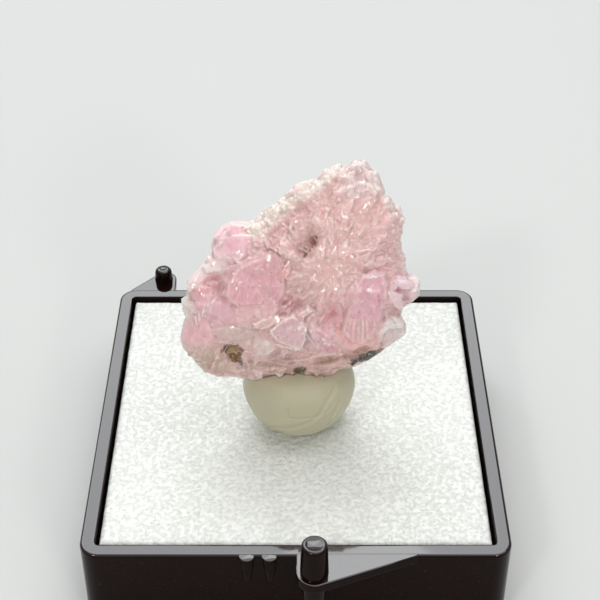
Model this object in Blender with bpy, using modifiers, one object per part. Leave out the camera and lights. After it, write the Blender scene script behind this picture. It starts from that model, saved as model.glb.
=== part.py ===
"""A cobaltoan calcite specimen pressed into a ball of mineral putty, in the base of its display box.

The row's frame is +Z up with its origin in the middle of the underside of the box base, and the
crystal face of the specimen looks towards -Y. Sizes below are in millimetres and degrees.

The specimen is shaped in a frame of its own: u to the right across its face, v up the face and w out
of it. That frame leans back by LEAN from upright and sits at SPECIMEN_AT.
"""

import math
import random
from collections import namedtuple

import bmesh
import bpy
import numpy as np
from mathutils import Matrix, Vector

MM = 0.001

# Box base: a square tray with a hinge peg behind and a latch peg in front.
BOX_SIDE = 40.2
BOX_HEIGHT = 10.0
BOX_WALL = 1.4
BOX_FLOOR = 1.2
BOX_CORNER = 1.8
FLANGE_THICKNESS = 1.0
FRONT_PEG_AT = (1.7, -22.0)
FRONT_PEG_RADII = (1.35, 1.2)
FRONT_PEG_RISE = 3.7
FRONT_BOSS_DROP = 2.2
FRONT_FLANGE_END = 11.3
REAR_PEG_AT = (-15.4, 22.1)
REAR_PEG_RADII = (1.1, 0.95)
REAR_PEG_RISE = 1.5
REAR_FLANGE_END = -19.0
FLANGE_MARGIN = 0.35
RIB_PLACES = (-4.5, -2.4)
RIB_RADII = (0.75, 0.35)
RIB_LENGTH = 3.2

# Foam pad and putty.
FIT_GAP = 0.3
FOAM_TOP = 9.7
FOAM_BEVEL = 0.5
PUTTY_AT = (0.3, -0.7)
PUTTY_PROFILE = (
    (0.0, 8.0), (2.4, 7.9), (4.2, 7.4), (5.2, 6.4), (5.6, 5.0), (5.6, 3.7), (5.3, 2.3), (4.6, 1.0),
    (3.7, 0.25), (2.9, 0.0), (0.0, 0.0),
)
PUTTY_STEPS = 32

# Specimen: its place, its rim and how thick it is.
LEAN = 23.0
SPECIMEN_AT = (0.4, 1.3, 25.3)
FRONT_DEPTH = 4.4
BACK_DEPTH = 4.0
RIM_INSET = 0.3
TOP_TAPER = 0.032
FOOT_START = -6.0
FOOT_HEIGHT = 4.0
SPRAY_ROOT = (2.8, 1.9)

RIM = (
    (6.4, 11.6), (7.4, 10.9), (8.0, 9.7), (8.1, 9.1), (8.8, 8.3), (9.0, 7.7), (9.7, 7.7), (10.0, 6.6),
    (9.9, 5.6), (9.7, 4.4), (9.8, 3.3), (10.3, 1.8), (10.4, 1.1), (11.7, 0.2), (11.5, -0.6), (11.5, -1.3),
    (10.7, -2.0), (9.8, -2.5), (9.6, -3.2), (10.6, -4.6), (10.3, -5.1), (8.8, -6.2), (7.2, -7.4),
    (5.8, -8.2), (3.8, -8.8), (2.8, -9.5), (1.2, -10.2), (-0.2, -10.6), (-3.1, -9.9), (-6.8, -9.5),
    (-7.5, -9.7), (-9.1, -9.1), (-10.2, -8.1), (-11.4, -6.7), (-11.7, -5.5), (-11.4, -4.1),
    (-11.1, -3.4), (-11.4, -2.5), (-11.7, -1.7), (-11.0, -1.3), (-11.0, 0.1), (-9.8, 1.3), (-8.9, 2.2),
    (-8.4, 3.2), (-8.6, 3.8), (-8.2, 4.9), (-7.2, 5.7), (-6.5, 6.0), (-4.8, 6.0), (-4.3, 6.2),
    (-3.5, 7.2), (-2.0, 8.0), (-1.0, 9.0), (0.2, 9.8), (1.2, 10.2), (2.1, 10.6), (2.7, 11.2),
    (3.5, 11.4), (4.2, 11.3), (5.1, 11.9), (5.7, 12.0),
)

# Hollows between the big crystals: place on the face, radius, depth.
HOLLOWS = (
    (-8.0, 0.6, 1.3, 1.0),
    (-6.4, -6.0, 0.9, 1.4),
    (-0.6, -1.2, 1.6, 1.3),
    (3.2, -2.4, 1.2, 1.2),
    (1.1, 4.9, 0.9, 1.1),
    (0.5, 3.7, 0.7, 0.9),
)

# Flat breaks across the back: a point on each and the way it faces.
BREAKS = (
    ((0.0, 0.0, -3.5), (0.08, 0.10, -1.0)),
    ((-7.0, -2.0, -2.4), (-0.42, -0.12, -1.0)),
    ((6.5, -3.0, -2.5), (0.45, -0.22, -1.0)),
    ((3.0, 7.5, -1.9), (0.16, 0.55, -1.0)),
)

Crystal = namedtuple("Crystal", "name place heading rise spin size form")

# Big crystals, each named for where it stands: place (u, v, w) of its middle, heading of its long axis
# across the face, rise of that axis out of the face, spin about it, and size (width, thickness, length).
BIG_CRYSTALS = (
    Crystal("shoulder_knob", (-6.4, 4.2, 1.5), 100, 82, 10, (4.4, 4.2, 3.8), "button"),
    Crystal("shoulder_step", (-4.3, 4.2, 1.6), 60, 70, 30, (2.4, 2.2, 3.0), "button"),
    Crystal("left_ridge", (-8.3, 1.6, 1.5), 31, 6, 35, (2.2, 2.0, 6.6), "blade"),
    Crystal("left_plate", (-3.6, -0.5, 3.0), 90, 84, 0, (4.6, 7.6, 3.9), "button"),
    Crystal("left_plate_toe", (-4.9, -1.9, 3.3), 120, 80, 20, (3.4, 3.0, 3.0), "button"),
    Crystal("inner_left_plate", (-6.5, -0.4, 2.7), 100, 70, 15, (2.6, 3.4, 3.2), "button"),
    Crystal("low_left_dome", (-9.6, -4.3, 1.2), 200, 66, 0, (3.6, 3.2, 3.0), "button"),
    Crystal("low_left_toe", (-8.6, -6.6, 1.0), 230, 60, 40, (3.0, 2.6, 2.4), "button"),
    Crystal("left_tooth", (-10.6, -1.8, 0.3), 186, 8, 20, (1.5, 1.2, 2.0), "tooth"),
    Crystal("edge_blade", (-3.2, -2.8, 4.6), 21, 4, 60, (1.0, 0.7, 3.4), "blade"),
    Crystal("clear_shard", (-0.4, -3.8, 4.7), 8, -4, 14, (3.0, 0.7, 5.0), "sheet"),
    Crystal("shard_splint", (0.5, -1.9, 4.6), 42, 12, 20, (0.7, 0.6, 1.9), "blade"),
    Crystal("brown_point", (-6.3, -5.9, 2.5), 95, 62, 0, (1.5, 1.4, 1.8), "rhomb"),
    Crystal("right_column", (6.5, -1.5, 3.2), 88, 84, -4, (4.1, 6.6, 4.0), "button"),
    Crystal("right_column_side", (5.0, -2.4, 2.9), 72, 66, 10, (2.4, 3.8, 3.2), "button"),
    Crystal("lobe_top", (9.5, 0.7, 0.8), 14, 10, 30, (1.7, 1.2, 3.8), "blade"),
    Crystal("lobe_middle", (9.6, -0.3, 0.9), -1, 8, 60, (1.9, 1.3, 4.0), "blade"),
    Crystal("lobe_bottom", (9.2, -1.4, 0.7), -20, 6, 15, (1.8, 1.2, 3.2), "blade"),
    Crystal("low_right_lobe", (9.0, -4.4, 0.4), 340, 50, 20, (3.4, 2.8, 3.0), "button"),
    Crystal("top_tip", (6.1, 11.2, 0.0), 84, 4, 15, (0.9, 0.8, 2.1), "tooth"),
    Crystal("top_left_rhomb", (4.8, 10.6, 0.3), 110, 40, 10, (2.2, 2.0, 2.4), "rhomb"),
    Crystal("top_right_rhomb", (6.7, 10.2, 0.4), 60, 36, 40, (2.1, 2.0, 2.4), "rhomb"),
    Crystal("top_ledge", (6.0, 9.4, 1.5), -12, 4, 40, (1.3, 0.9, 3.4), "sheet"),
    Crystal("right_step", (8.9, 6.9, 0.3), 50, 20, 25, (2.5, 2.2, 2.5), "rhomb"),
    Crystal("right_splint", (9.5, 2.6, 0.4), 18, 12, 0, (1.0, 0.8, 2.4), "blade"),
    Crystal("spray_heart", (2.8, 1.9, 3.2), 80, 80, 0, (2.2, 2.0, 2.4), "pebble"),
)

# Rows of like blades: how many, first place, step between them, heading and its step, rise, size.
BladeRow = namedtuple("BladeRow", "name count place step heading turn rise size")
BLADE_ROWS = (
    BladeRow("left_streaks", 6, (-8.0, -0.6, 2.9), (-0.1, -0.6, -0.06), 176, 12, 10, (0.9, 0.8, 3.0)),
    BladeRow("glints", 6, (1.3, -3.6, 4.0), (0.66, 0.05, -0.06), -60, 2, 14, (0.6, 0.7, 2.9)),
    BladeRow("column_flutes", 5, (4.5, -3.7, 3.3), (0.62, -0.1, -0.04), -108, 4, 18, (0.7, 0.8, 3.0)),
    BladeRow("hanging_blades", 4, (2.1, -0.3, 3.9), (0.62, -0.1, -0.05), -100, 10, 24, (0.6, 0.5, 2.5)),
    BladeRow("cream_lumps", 4, (-7.6, -3.7, 2.9), (1.5, -0.12, 0.28), 20, 30, 80, (1.7, 1.5, 1.7)),
)

# Fields of small crystals.
SEED = 41
SPRAY_COUNT = 150
SPRAY_SPACING = 0.92
CRUST_COUNT = 22
CRUST_ANGLES = (72.0, 134.0)
RIM_COUNT = 34
BACK_COUNT = 16
GOLDEN_ANGLE = 137.508
CONTACT_LINE = -6.4
CONTACT_HALF_WIDTH = 8.4

BODY_SEGMENTS = 48
BODY_RINGS = 16

COLOURS = {
    "calcite": (0.80, 0.46, 0.52, 1.0),
    "putty": (0.52, 0.50, 0.40, 1.0),
    "foam": (0.86, 0.87, 0.86, 1.0),
    "black_plastic": (0.012, 0.011, 0.012, 1.0),
}
ROUGHNESS = {"calcite": 0.35, "putty": 0.6, "foam": 0.9, "black_plastic": 0.18}


def clear_scene():
    """Remove whatever the file opened with."""
    for thing in list(bpy.data.objects):
        bpy.data.objects.remove(thing, do_unlink=True)


def new_collection(name, hidden=False):
    """A collection linked to the scene."""
    collection = bpy.data.collections.new(name)
    collection.hide_render = hidden
    bpy.context.scene.collection.children.link(collection)
    return collection


def make_material(name):
    """A Principled material in one of the part's colours."""
    material = bpy.data.materials.new(name)
    material.use_nodes = True
    shader = material.node_tree.nodes["Principled BSDF"]
    shader.inputs["Base Color"].default_value = COLOURS[name]
    shader.inputs["Roughness"].default_value = ROUGHNESS[name]
    return material


def new_object(name, bm, collection):
    """Turn a bmesh, worked in millimetres, into an object in metres, and free it."""
    bmesh.ops.scale(bm, vec=(MM, MM, MM), verts=bm.verts)
    bmesh.ops.recalc_face_normals(bm, faces=bm.faces)
    mesh = bpy.data.meshes.new(name)
    bm.to_mesh(mesh)
    bm.free()
    thing = bpy.data.objects.new(name, mesh)
    collection.objects.link(thing)
    if collection.hide_render:
        thing.hide_render = True
        thing.display_type = "WIRE"
    return thing


def add_boolean(target, operand, operation):
    """Join or cut with another object or with a whole collection."""
    modifier = target.modifiers.new(operation.lower(), "BOOLEAN")
    modifier.operation = operation
    modifier.solver = "EXACT"
    if isinstance(operand, bpy.types.Collection):
        modifier.operand_type = "COLLECTION"
        modifier.collection = operand
    else:
        modifier.object = operand
    return modifier


def box(size, centre, corner=0.0, edge=0.0):
    """A block with rounded upright corners and softened remaining edges."""
    bm = bmesh.new()
    bmesh.ops.create_cube(bm, size=1.0)
    bmesh.ops.scale(bm, vec=size, verts=bm.verts)
    if corner:
        upright = [item for item in bm.edges if abs(item.verts[0].co.z - item.verts[1].co.z) > 0.1]
        bmesh.ops.bevel(bm, geom=upright, offset=corner, segments=4, profile=0.5, affect="EDGES")
    if edge:
        level = [item for item in bm.edges if abs(item.verts[0].co.z - item.verts[1].co.z) < 1e-4
                 and item.is_manifold and item.calc_face_angle() > 1.0]
        bmesh.ops.bevel(bm, geom=level, offset=edge, segments=2, profile=0.5, affect="EDGES")
    bmesh.ops.translate(bm, vec=centre, verts=bm.verts)
    return bm


def round_post(radii, low, high, at, edge=0.0, segments=28):
    """An upright, slightly tapered round post, with its top edge rounded over."""
    bm = bmesh.new()
    bmesh.ops.create_cone(bm, cap_ends=True, segments=segments, radius1=radii[0], radius2=radii[1],
                          depth=high - low)
    if edge:
        top = (high - low) / 2
        rim = [item for item in bm.edges if all(abs(vert.co.z - top) < 1e-4 for vert in item.verts)]
        bmesh.ops.bevel(bm, geom=rim, offset=edge, segments=3, profile=0.5, affect="EDGES")
    bmesh.ops.translate(bm, vec=(at[0], at[1], (low + high) / 2), verts=bm.verts)
    return bm


def flange(name, peg_at, peg_radius, end, wall_face, collection):
    """A thin tongue level with the rim: round about its peg, then tapering back to the wall at end."""
    radius = peg_radius + FLANGE_MARGIN
    outward = math.copysign(1.0, peg_at[1])
    along = math.copysign(1.0, end - peg_at[0])
    inner = wall_face - outward * BOX_WALL / 2
    outline = [(end, inner), (end, wall_face)]
    for degrees in range(75, 181, 15):
        angle = math.radians(degrees)
        outline.append((peg_at[0] + along * radius * math.cos(angle),
                        peg_at[1] + outward * radius * math.sin(angle)))
    outline.append((peg_at[0] - along * radius, inner))
    curve = bpy.data.curves.new(name, "CURVE")
    curve.dimensions = "2D"
    curve.fill_mode = "BOTH"
    curve.extrude = FLANGE_THICKNESS / 2 * MM
    spline = curve.splines.new("POLY")
    spline.points.add(len(outline) - 1)
    for point, (x, y) in zip(spline.points, outline):
        point.co = (x * MM, y * MM, 0.0, 1.0)
    spline.use_cyclic_u = True
    guide = bpy.data.objects.new(name + "_outline", curve)
    collection.objects.link(guide)
    guide.location.z = (BOX_HEIGHT - FLANGE_THICKNESS / 2) * MM
    bpy.context.view_layer.update()
    evaluated = guide.evaluated_get(bpy.context.evaluated_depsgraph_get())
    bm = bmesh.new()
    bm.from_mesh(bpy.data.meshes.new_from_object(evaluated))
    bmesh.ops.transform(bm, matrix=guide.matrix_world, verts=bm.verts)
    bmesh.ops.remove_doubles(bm, verts=bm.verts, dist=1e-6)
    bmesh.ops.scale(bm, vec=(1 / MM, 1 / MM, 1 / MM), verts=bm.verts)
    bpy.data.objects.remove(guide, do_unlink=True)
    return new_object(name, bm, collection)


def make_box_base(parts, helpers, joined):
    """The black tray, with pegs, flanges and ribs grown on to its walls."""
    tray = new_object(
        "box_base",
        box((BOX_SIDE, BOX_SIDE, BOX_HEIGHT), (0, 0, BOX_HEIGHT / 2), BOX_CORNER, 0.25),
        parts,
    )
    inside = BOX_SIDE - 2 * BOX_WALL
    depth = BOX_HEIGHT - BOX_FLOOR + 2.0
    cavity = new_object(
        "cavity",
        box((inside, inside, depth), (0, 0, BOX_FLOOR + depth / 2), BOX_CORNER - BOX_WALL),
        helpers,
    )
    add_boolean(tray, cavity, "DIFFERENCE")
    half = BOX_SIDE / 2
    underside = BOX_HEIGHT - FLANGE_THICKNESS
    flange("front_flange", FRONT_PEG_AT, FRONT_PEG_RADII[0], FRONT_FLANGE_END, -half, joined)
    flange("rear_flange", REAR_PEG_AT, REAR_PEG_RADII[0], REAR_FLANGE_END, half, joined)
    new_object(
        "front_peg",
        round_post(FRONT_PEG_RADII, underside + 0.2, BOX_HEIGHT + FRONT_PEG_RISE, FRONT_PEG_AT, 0.3),
        joined,
    )
    new_object(
        "front_boss",
        round_post((1.1, 1.3), BOX_HEIGHT - FLANGE_THICKNESS - FRONT_BOSS_DROP, underside + 0.3,
                   FRONT_PEG_AT),
        joined,
    )
    new_object(
        "rear_peg",
        round_post(REAR_PEG_RADII, underside + 0.2, BOX_HEIGHT + REAR_PEG_RISE, REAR_PEG_AT, 0.5, 24),
        joined,
    )
    for index, place in enumerate(RIB_PLACES):
        post = round_post((RIB_RADII[1], RIB_RADII[0]), BOX_HEIGHT - 0.02 - RIB_LENGTH,
                          BOX_HEIGHT - 0.02, (place, -half + 0.1), segments=16)
        new_object(f"rib_{index}", post, joined)
    add_boolean(tray, joined, "UNION")
    tray.data.materials.append(make_material("black_plastic"))
    return tray


def make_foam(parts):
    """The white foam pad that fills the tray."""
    side = BOX_SIDE - 2 * BOX_WALL - 2 * FIT_GAP
    bottom = BOX_FLOOR + FIT_GAP
    bm = box((side, side, FOAM_TOP - bottom), (0, 0, (FOAM_TOP + bottom) / 2), 0.0, FOAM_BEVEL)
    foam = new_object("foam_pad", bm, parts)
    foam.data.materials.append(make_material("foam"))
    return foam


def rim_radius(angle):
    """Distance from the specimen's middle to its rim, at angles in radians."""
    angles = np.arctan2([point[1] for point in RIM], [point[0] for point in RIM])
    radii = np.hypot([point[0] for point in RIM], [point[1] for point in RIM])
    order = np.argsort(angles)
    return np.interp(angle, angles[order], radii[order], period=math.tau)


def face_height(u, v):
    """How far the crystal face stands out of the middle plane of the specimen at (u, v)."""
    share = np.clip(np.hypot(u, v) / rim_radius(np.arctan2(v, u)), 0.0, 1.0)
    height = FRONT_DEPTH * (1.0 - share**3) ** 0.6 * (1.0 - TOP_TAPER * np.maximum(v, 0.0))
    for at_u, at_v, radius, depth in HOLLOWS:
        height = height - depth * np.exp(-((u - at_u) ** 2 + (v - at_v) ** 2) / radius**2)
    foot = np.maximum(FOOT_HEIGHT + (v - FOOT_START), 0.0)
    return np.maximum(np.minimum(height, foot), 0.0)


def face_slope(u, v, heading):
    """How steeply the crystal face climbs at (u, v) along a heading, all in degrees."""
    step = 0.5
    ahead_u = u + step * math.cos(math.radians(heading))
    ahead_v = v + step * math.sin(math.radians(heading))
    climb = float(face_height(ahead_u, ahead_v)) - float(face_height(u, v))
    return math.degrees(math.atan2(climb, step))


def back_height(u, v):
    """How far the back stands out behind the middle plane."""
    share = np.clip(np.hypot(u, v) / rim_radius(np.arctan2(v, u)), 0.0, 1.0)
    return BACK_DEPTH * (1.0 - share**2.4) ** 0.7 * (1.0 - TOP_TAPER * np.maximum(v, 0.0))


def make_body(grow):
    """The matrix lump: a UV sphere drawn out to the rim, the face and the back, grown by a skin."""
    bm = bmesh.new()
    bmesh.ops.create_uvsphere(bm, u_segments=BODY_SEGMENTS, v_segments=BODY_RINGS, radius=1.0)
    for vert in bm.verts:
        x, y, z = vert.co
        share = math.hypot(x, y)
        angle = math.atan2(y, x)
        reach = float(rim_radius(angle)) - RIM_INSET + grow
        u = share * reach * math.cos(angle)
        v = share * reach * math.sin(angle)
        inner = 1.0 - (RIM_INSET + 0.05) / reach
        height = face_height(u * inner, v * inner) if z > 0 else -back_height(u * inner, v * inner)
        vert.co = (u, v, float(height) + math.copysign(grow * abs(z) ** 0.3, z))
    for point, facing in BREAKS:
        normal = Vector(facing).normalized()
        slice_off(bm, Vector(point) + normal * grow, normal)
    return bm


def slice_off(bm, point, normal):
    """Cut away what lies beyond a plane and close the cut."""
    everything = bm.verts[:] + bm.edges[:] + bm.faces[:]
    cut = bmesh.ops.bisect_plane(bm, geom=everything, dist=1e-5, plane_co=point, plane_no=normal,
                                 clear_outer=True)
    edges = [item for item in cut["geom_cut"] if isinstance(item, bmesh.types.BMEdge)]
    if edges:
        bmesh.ops.edgeloop_fill(bm, edges=edges)


def ring(count, tilt, reach, turn=0.0):
    """Faces evenly spaced about a crystal's long axis, each as (normal, distance) for a unit crystal."""
    planes = []
    slope = math.radians(tilt)
    for index in range(count):
        angle = math.radians(turn) + math.tau * index / count
        across = math.cos(slope)
        planes.append((Vector((math.cos(angle) * across, math.sin(angle) * across, math.sin(slope))), reach))
    return planes


def pebble_planes():
    """Faces of a broken grain, spread over a sphere along a golden spiral."""
    planes = []
    count = 16
    for index in range(count):
        z = 1.0 - 2.0 * (index + 0.5) / count
        across = math.sqrt(1.0 - z * z)
        angle = math.radians(GOLDEN_ANGLE) * index
        planes.append((Vector((across * math.cos(angle), across * math.sin(angle), z)),
                       0.86 + 0.1 * math.sin(5.0 * index)))
    return planes


FORMS = {
    "blade": ring(4, 0, 1.0) + ring(4, 0, 1.16, 45) + ring(2, 48, 0.94) + ring(2, 64, 1.0, 90)
    + ring(2, -48, 0.94) + ring(2, -64, 1.0, 90) + ring(1, 90, 1.0) + ring(1, -90, 1.0),
    "sheet": ring(4, 0, 1.0) + ring(2, 38, 0.98) + ring(2, -52, 1.02) + ring(2, 70, 1.0, 90)
    + ring(2, -70, 1.0, 90),
    "rhomb": ring(3, 33, 0.72) + ring(3, -33, 0.72, 60),
    "tooth": ring(6, 30, 0.72) + ring(3, 66, 0.91, 30) + ring(6, -30, 0.72, 30),
    "button": ring(8, 0, 0.98, 22.5) + ring(8, 40, 1.20) + ring(6, 68, 1.09, 15) + ring(1, 90, 0.97)
    + ring(1, -90, 1.0),
    "pebble": pebble_planes(),
}


def crystal_frame(crystal):
    """The crystal's own axes as a matrix: X across its width, Y its thickness, Z along it."""
    heading = math.radians(crystal.heading)
    rise = math.radians(crystal.rise)
    along = Vector((math.cos(heading) * math.cos(rise), math.sin(heading) * math.cos(rise),
                    math.sin(rise)))
    across = Vector((-math.sin(heading), math.cos(heading), 0.0))
    out = along.cross(across)
    turn = Matrix.Rotation(math.radians(crystal.spin), 3, along)
    return Matrix((turn @ across, turn @ out, along)).transposed()


def make_crystal(crystal):
    """Cut one crystal out of a cube, face by face, and set it in its place."""
    half = Vector(crystal.size) / 2
    bm = bmesh.new()
    bmesh.ops.create_cube(bm, size=2.0 * 1.3)
    for normal, distance in FORMS[crystal.form]:
        slice_off(bm, normal * distance, normal)
    bmesh.ops.scale(bm, vec=half, verts=bm.verts)
    frame = crystal_frame(crystal).to_4x4()
    bmesh.ops.transform(bm, matrix=Matrix.Translation(crystal.place) @ frame, verts=bm.verts)
    return bm


def row_crystals():
    """The crystals of every row of blades."""
    found = []
    for row in BLADE_ROWS:
        form = "pebble" if row.name == "cream_lumps" else "blade"
        for index in range(row.count):
            place = Vector(row.place) + Vector(row.step) * index
            found.append(Crystal(f"{row.name}_{index}", tuple(place), row.heading + row.turn * index,
                                 row.rise, 25 * index, row.size, form))
    return found


def covered(u, v):
    """Whether a big round crystal already covers this place on the face."""
    for crystal in BIG_CRYSTALS:
        if crystal.form != "button":
            continue
        reach_u = crystal.size[0] / 2 - 0.3
        reach_v = crystal.size[1] / 2 - 0.3
        if ((u - crystal.place[0]) / reach_u) ** 2 + ((v - crystal.place[1]) / reach_v) ** 2 < 1.0:
            return True
    return False


def spray_crystals(rng):
    """Small blades over the face, laid out on a golden spiral and radiating from the spray's root."""
    found = []
    for index in range(3, SPRAY_COUNT):
        reach = SPRAY_SPACING * math.sqrt(index)
        angle = math.radians(GOLDEN_ANGLE) * index
        u = SPRAY_ROOT[0] + 1.25 * reach * math.cos(angle)
        v = SPRAY_ROOT[1] + reach * math.sin(angle)
        share = math.hypot(u, v) / float(rim_radius(math.atan2(v, u)))
        if share > 0.90 or v < FOOT_START + 0.3 or covered(u, v):
            continue
        heading = math.degrees(math.atan2(v - SPRAY_ROOT[1], u - SPRAY_ROOT[0])) + rng.uniform(-28, 28)
        length = rng.uniform(2.5, 3.7)
        width = rng.uniform(1.2, 1.8)
        place = (u, v, float(face_height(u, v)) - 0.35)
        rise = face_slope(u, v, heading) + rng.uniform(0, 16)
        found.append(Crystal(f"spray_{index}", place, heading, rise, rng.uniform(-40, 40),
                             (width, 0.8 * width, length), "blade"))
    return found


def crust_crystals(rng):
    """Pale grains along the upper left rim."""
    found = []
    for index in range(CRUST_COUNT):
        angle = math.radians(CRUST_ANGLES[0] + (CRUST_ANGLES[1] - CRUST_ANGLES[0]) * index / CRUST_COUNT)
        reach = float(rim_radius(angle)) - rng.uniform(0.9, 1.9)
        u = reach * math.cos(angle)
        v = reach * math.sin(angle)
        side = rng.uniform(1.7, 2.5)
        place = (u, v, float(face_height(u, v)) - 0.2)
        found.append(Crystal(f"crust_{index}", place, rng.uniform(0, 360), rng.uniform(0, 90), 0,
                             (side, 0.85 * side, side), "pebble"))
    return found


def rim_crystals(rng):
    """Small crystals that stand outwards all round the rim, off the stretch held in the putty."""
    found = []
    for index in range(RIM_COUNT):
        angle = math.tau * index / RIM_COUNT + rng.uniform(-0.04, 0.04)
        reach = float(rim_radius(angle)) - 1.25
        u = reach * math.cos(angle)
        v = reach * math.sin(angle)
        if v < CONTACT_LINE and abs(u) < CONTACT_HALF_WIDTH:
            continue
        place = (u, v, rng.uniform(-0.9, 0.7))
        found.append(Crystal(f"rim_{index}", place, math.degrees(angle) + rng.uniform(-25, 25),
                             rng.uniform(-14, 20), rng.uniform(0, 90),
                             (rng.uniform(1.5, 2.1), rng.uniform(1.2, 1.7), rng.uniform(2.2, 2.8)),
                             rng.choice(("blade", "rhomb", "button"))))
    return found


def back_crystals(rng):
    """Broad broken lumps over the back."""
    found = []
    for index in range(BACK_COUNT):
        reach = 0.2 * math.sqrt(index + 0.6)
        angle = math.radians(GOLDEN_ANGLE) * index
        u = reach * float(rim_radius(angle)) * math.cos(angle)
        v = reach * float(rim_radius(angle)) * math.sin(angle)
        if v < CONTACT_LINE + 2.0:
            continue
        side = rng.uniform(3.0, 4.6)
        place = (u, v, 0.55 - min(float(back_height(u, v)), 3.4))
        found.append(Crystal(f"back_{index}", place, rng.uniform(0, 360), rng.uniform(-90, -60),
                             rng.uniform(0, 60), (side, 0.9 * side, 0.55 * side), "pebble"))
    return found


def keep_largest_shell(thing):
    """Keep the outer shell alone: a join can leave small hollows sealed inside."""
    bm = bmesh.new()
    bm.from_mesh(thing.data)
    unseen = set(bm.faces)
    shells = []
    while unseen:
        stack = [unseen.pop()]
        shell = []
        while stack:
            face = stack.pop()
            shell.append(face)
            for edge in face.edges:
                for other in edge.link_faces:
                    if other in unseen:
                        unseen.remove(other)
                        stack.append(other)
        shells.append(shell)
    shells.sort(key=lambda shell: sum(face.calc_area() for face in shell), reverse=True)
    spare = [face for shell in shells[1:] for face in shell]
    bmesh.ops.delete(bm, geom=spare, context="FACES")
    bm.to_mesh(thing.data)
    bm.free()


def settle(thing):
    """Replace an object's mesh by what its modifiers make of it."""
    bpy.context.view_layer.update()
    evaluated = thing.evaluated_get(bpy.context.evaluated_depsgraph_get())
    finished = bpy.data.meshes.new_from_object(evaluated)
    thing.modifiers.clear()
    thing.data = finished


def set_in_place(thing):
    """Lean a specimen piece back and stand it in its place on the putty."""
    thing.location = Vector(SPECIMEN_AT) * MM
    thing.rotation_euler = (math.radians(90.0 - LEAN), 0.0, 0.0)


def make_specimen(parts, helpers):
    """Matrix and crystals grown together as one solid."""
    rng = random.Random(SEED)
    crystals = list(BIG_CRYSTALS) + row_crystals()
    crystals += spray_crystals(rng) + crust_crystals(rng) + rim_crystals(rng) + back_crystals(rng)
    grown = bmesh.new()
    for crystal in crystals:
        piece = make_crystal(crystal)
        mesh = bpy.data.meshes.new("piece")
        piece.to_mesh(mesh)
        piece.free()
        grown.from_mesh(mesh)
        bpy.data.meshes.remove(mesh)
    cluster = new_object("crystal_cluster", grown, helpers)
    specimen = new_object("calcite_specimen", make_body(0.0), parts)
    union = add_boolean(specimen, cluster, "UNION")
    union.use_self = True
    settle(specimen)
    keep_largest_shell(specimen)
    specimen.data.materials.clear()
    specimen.data.materials.append(make_material("calcite"))
    set_in_place(specimen)
    return specimen


def make_putty(parts, helpers):
    """The putty ball, turned, then pressed in where it holds the specimen."""
    mesh = bpy.data.meshes.new("putty_ball")
    profile = [(radius * MM, 0.0, height * MM) for radius, height in PUTTY_PROFILE]
    mesh.from_pydata(profile, [(index, index + 1) for index in range(len(profile) - 1)], [])
    putty = bpy.data.objects.new("putty_ball", mesh)
    parts.objects.link(putty)
    putty.location = Vector((*PUTTY_AT, FOAM_TOP + FIT_GAP)) * MM
    turned = putty.modifiers.new("turned", "SCREW")
    turned.steps = PUTTY_STEPS
    turned.render_steps = PUTTY_STEPS
    turned.use_merge_vertices = True
    turned.merge_threshold = 1e-5
    press = new_object("specimen_press", make_body(FIT_GAP + 0.1), helpers)
    set_in_place(press)
    add_boolean(putty, press, "DIFFERENCE")
    putty.data.materials.append(make_material("putty"))
    return putty


def main():
    """Build the four pieces."""
    clear_scene()
    parts = new_collection("cobaltoan_calcite_specimen")
    helpers = new_collection("cutters", hidden=True)
    joined = new_collection("box_base_joined", hidden=True)
    make_box_base(parts, helpers, joined)
    make_foam(parts)
    make_putty(parts, helpers)
    make_specimen(parts, helpers)


main()
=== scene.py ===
"""Dressing for a cobaltoan calcite specimen held in putty on the foam of its display box base.

Lengths are in millimetres and angles in degrees until a mesh is made. The specimen is shaped in a frame
of its own, u to the right across its face, v up the face and w out of it, then leant back and set in
its place. +Z is up and the face looks towards -Y.
"""

import logging
import math
import random
from collections.abc import Callable, Sequence
from dataclasses import dataclass, field, replace
from enum import Enum

import bpy
import numpy as np
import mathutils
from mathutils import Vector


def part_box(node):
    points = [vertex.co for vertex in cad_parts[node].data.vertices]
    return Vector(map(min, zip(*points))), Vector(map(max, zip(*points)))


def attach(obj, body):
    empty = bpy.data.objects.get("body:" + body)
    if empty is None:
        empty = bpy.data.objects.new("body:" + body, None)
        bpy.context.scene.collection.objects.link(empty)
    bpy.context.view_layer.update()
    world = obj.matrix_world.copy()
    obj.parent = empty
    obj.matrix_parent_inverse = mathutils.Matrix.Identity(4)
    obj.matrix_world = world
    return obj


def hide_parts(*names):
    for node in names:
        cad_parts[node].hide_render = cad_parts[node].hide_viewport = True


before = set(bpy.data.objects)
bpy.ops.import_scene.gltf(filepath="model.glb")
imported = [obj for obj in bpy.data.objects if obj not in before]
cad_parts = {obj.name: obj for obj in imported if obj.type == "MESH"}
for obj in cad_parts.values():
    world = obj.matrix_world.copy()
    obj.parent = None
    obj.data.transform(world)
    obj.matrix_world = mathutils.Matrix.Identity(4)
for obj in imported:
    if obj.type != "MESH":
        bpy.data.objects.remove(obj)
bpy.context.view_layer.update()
LOG = logging.getLogger("specimen")

Array = np.ndarray
Triple = tuple[float, float, float]
Pair = tuple[float, float]
MM = 0.001
GOLDEN_ANGLE = 137.508


def paint(red: int, green: int, blue: int) -> Triple:
    """Turn a colour on the usual 0 to 255 display scale into the linear values that shaders take.

    Args:
        red: Red on the display scale.
        green: Green on the display scale.
        blue: Blue on the display scale.

    Returns:
        The three linear values, from 0 to 1.
    """
    def line(level: int) -> float:
        """One channel: the display curve is a short straight start and then a power of 2.4."""
        share = level / 255.0
        return share / 12.92 if share <= 0.04045 else ((share + 0.055) / 1.055) ** 2.4

    return line(red), line(green), line(blue)


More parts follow.
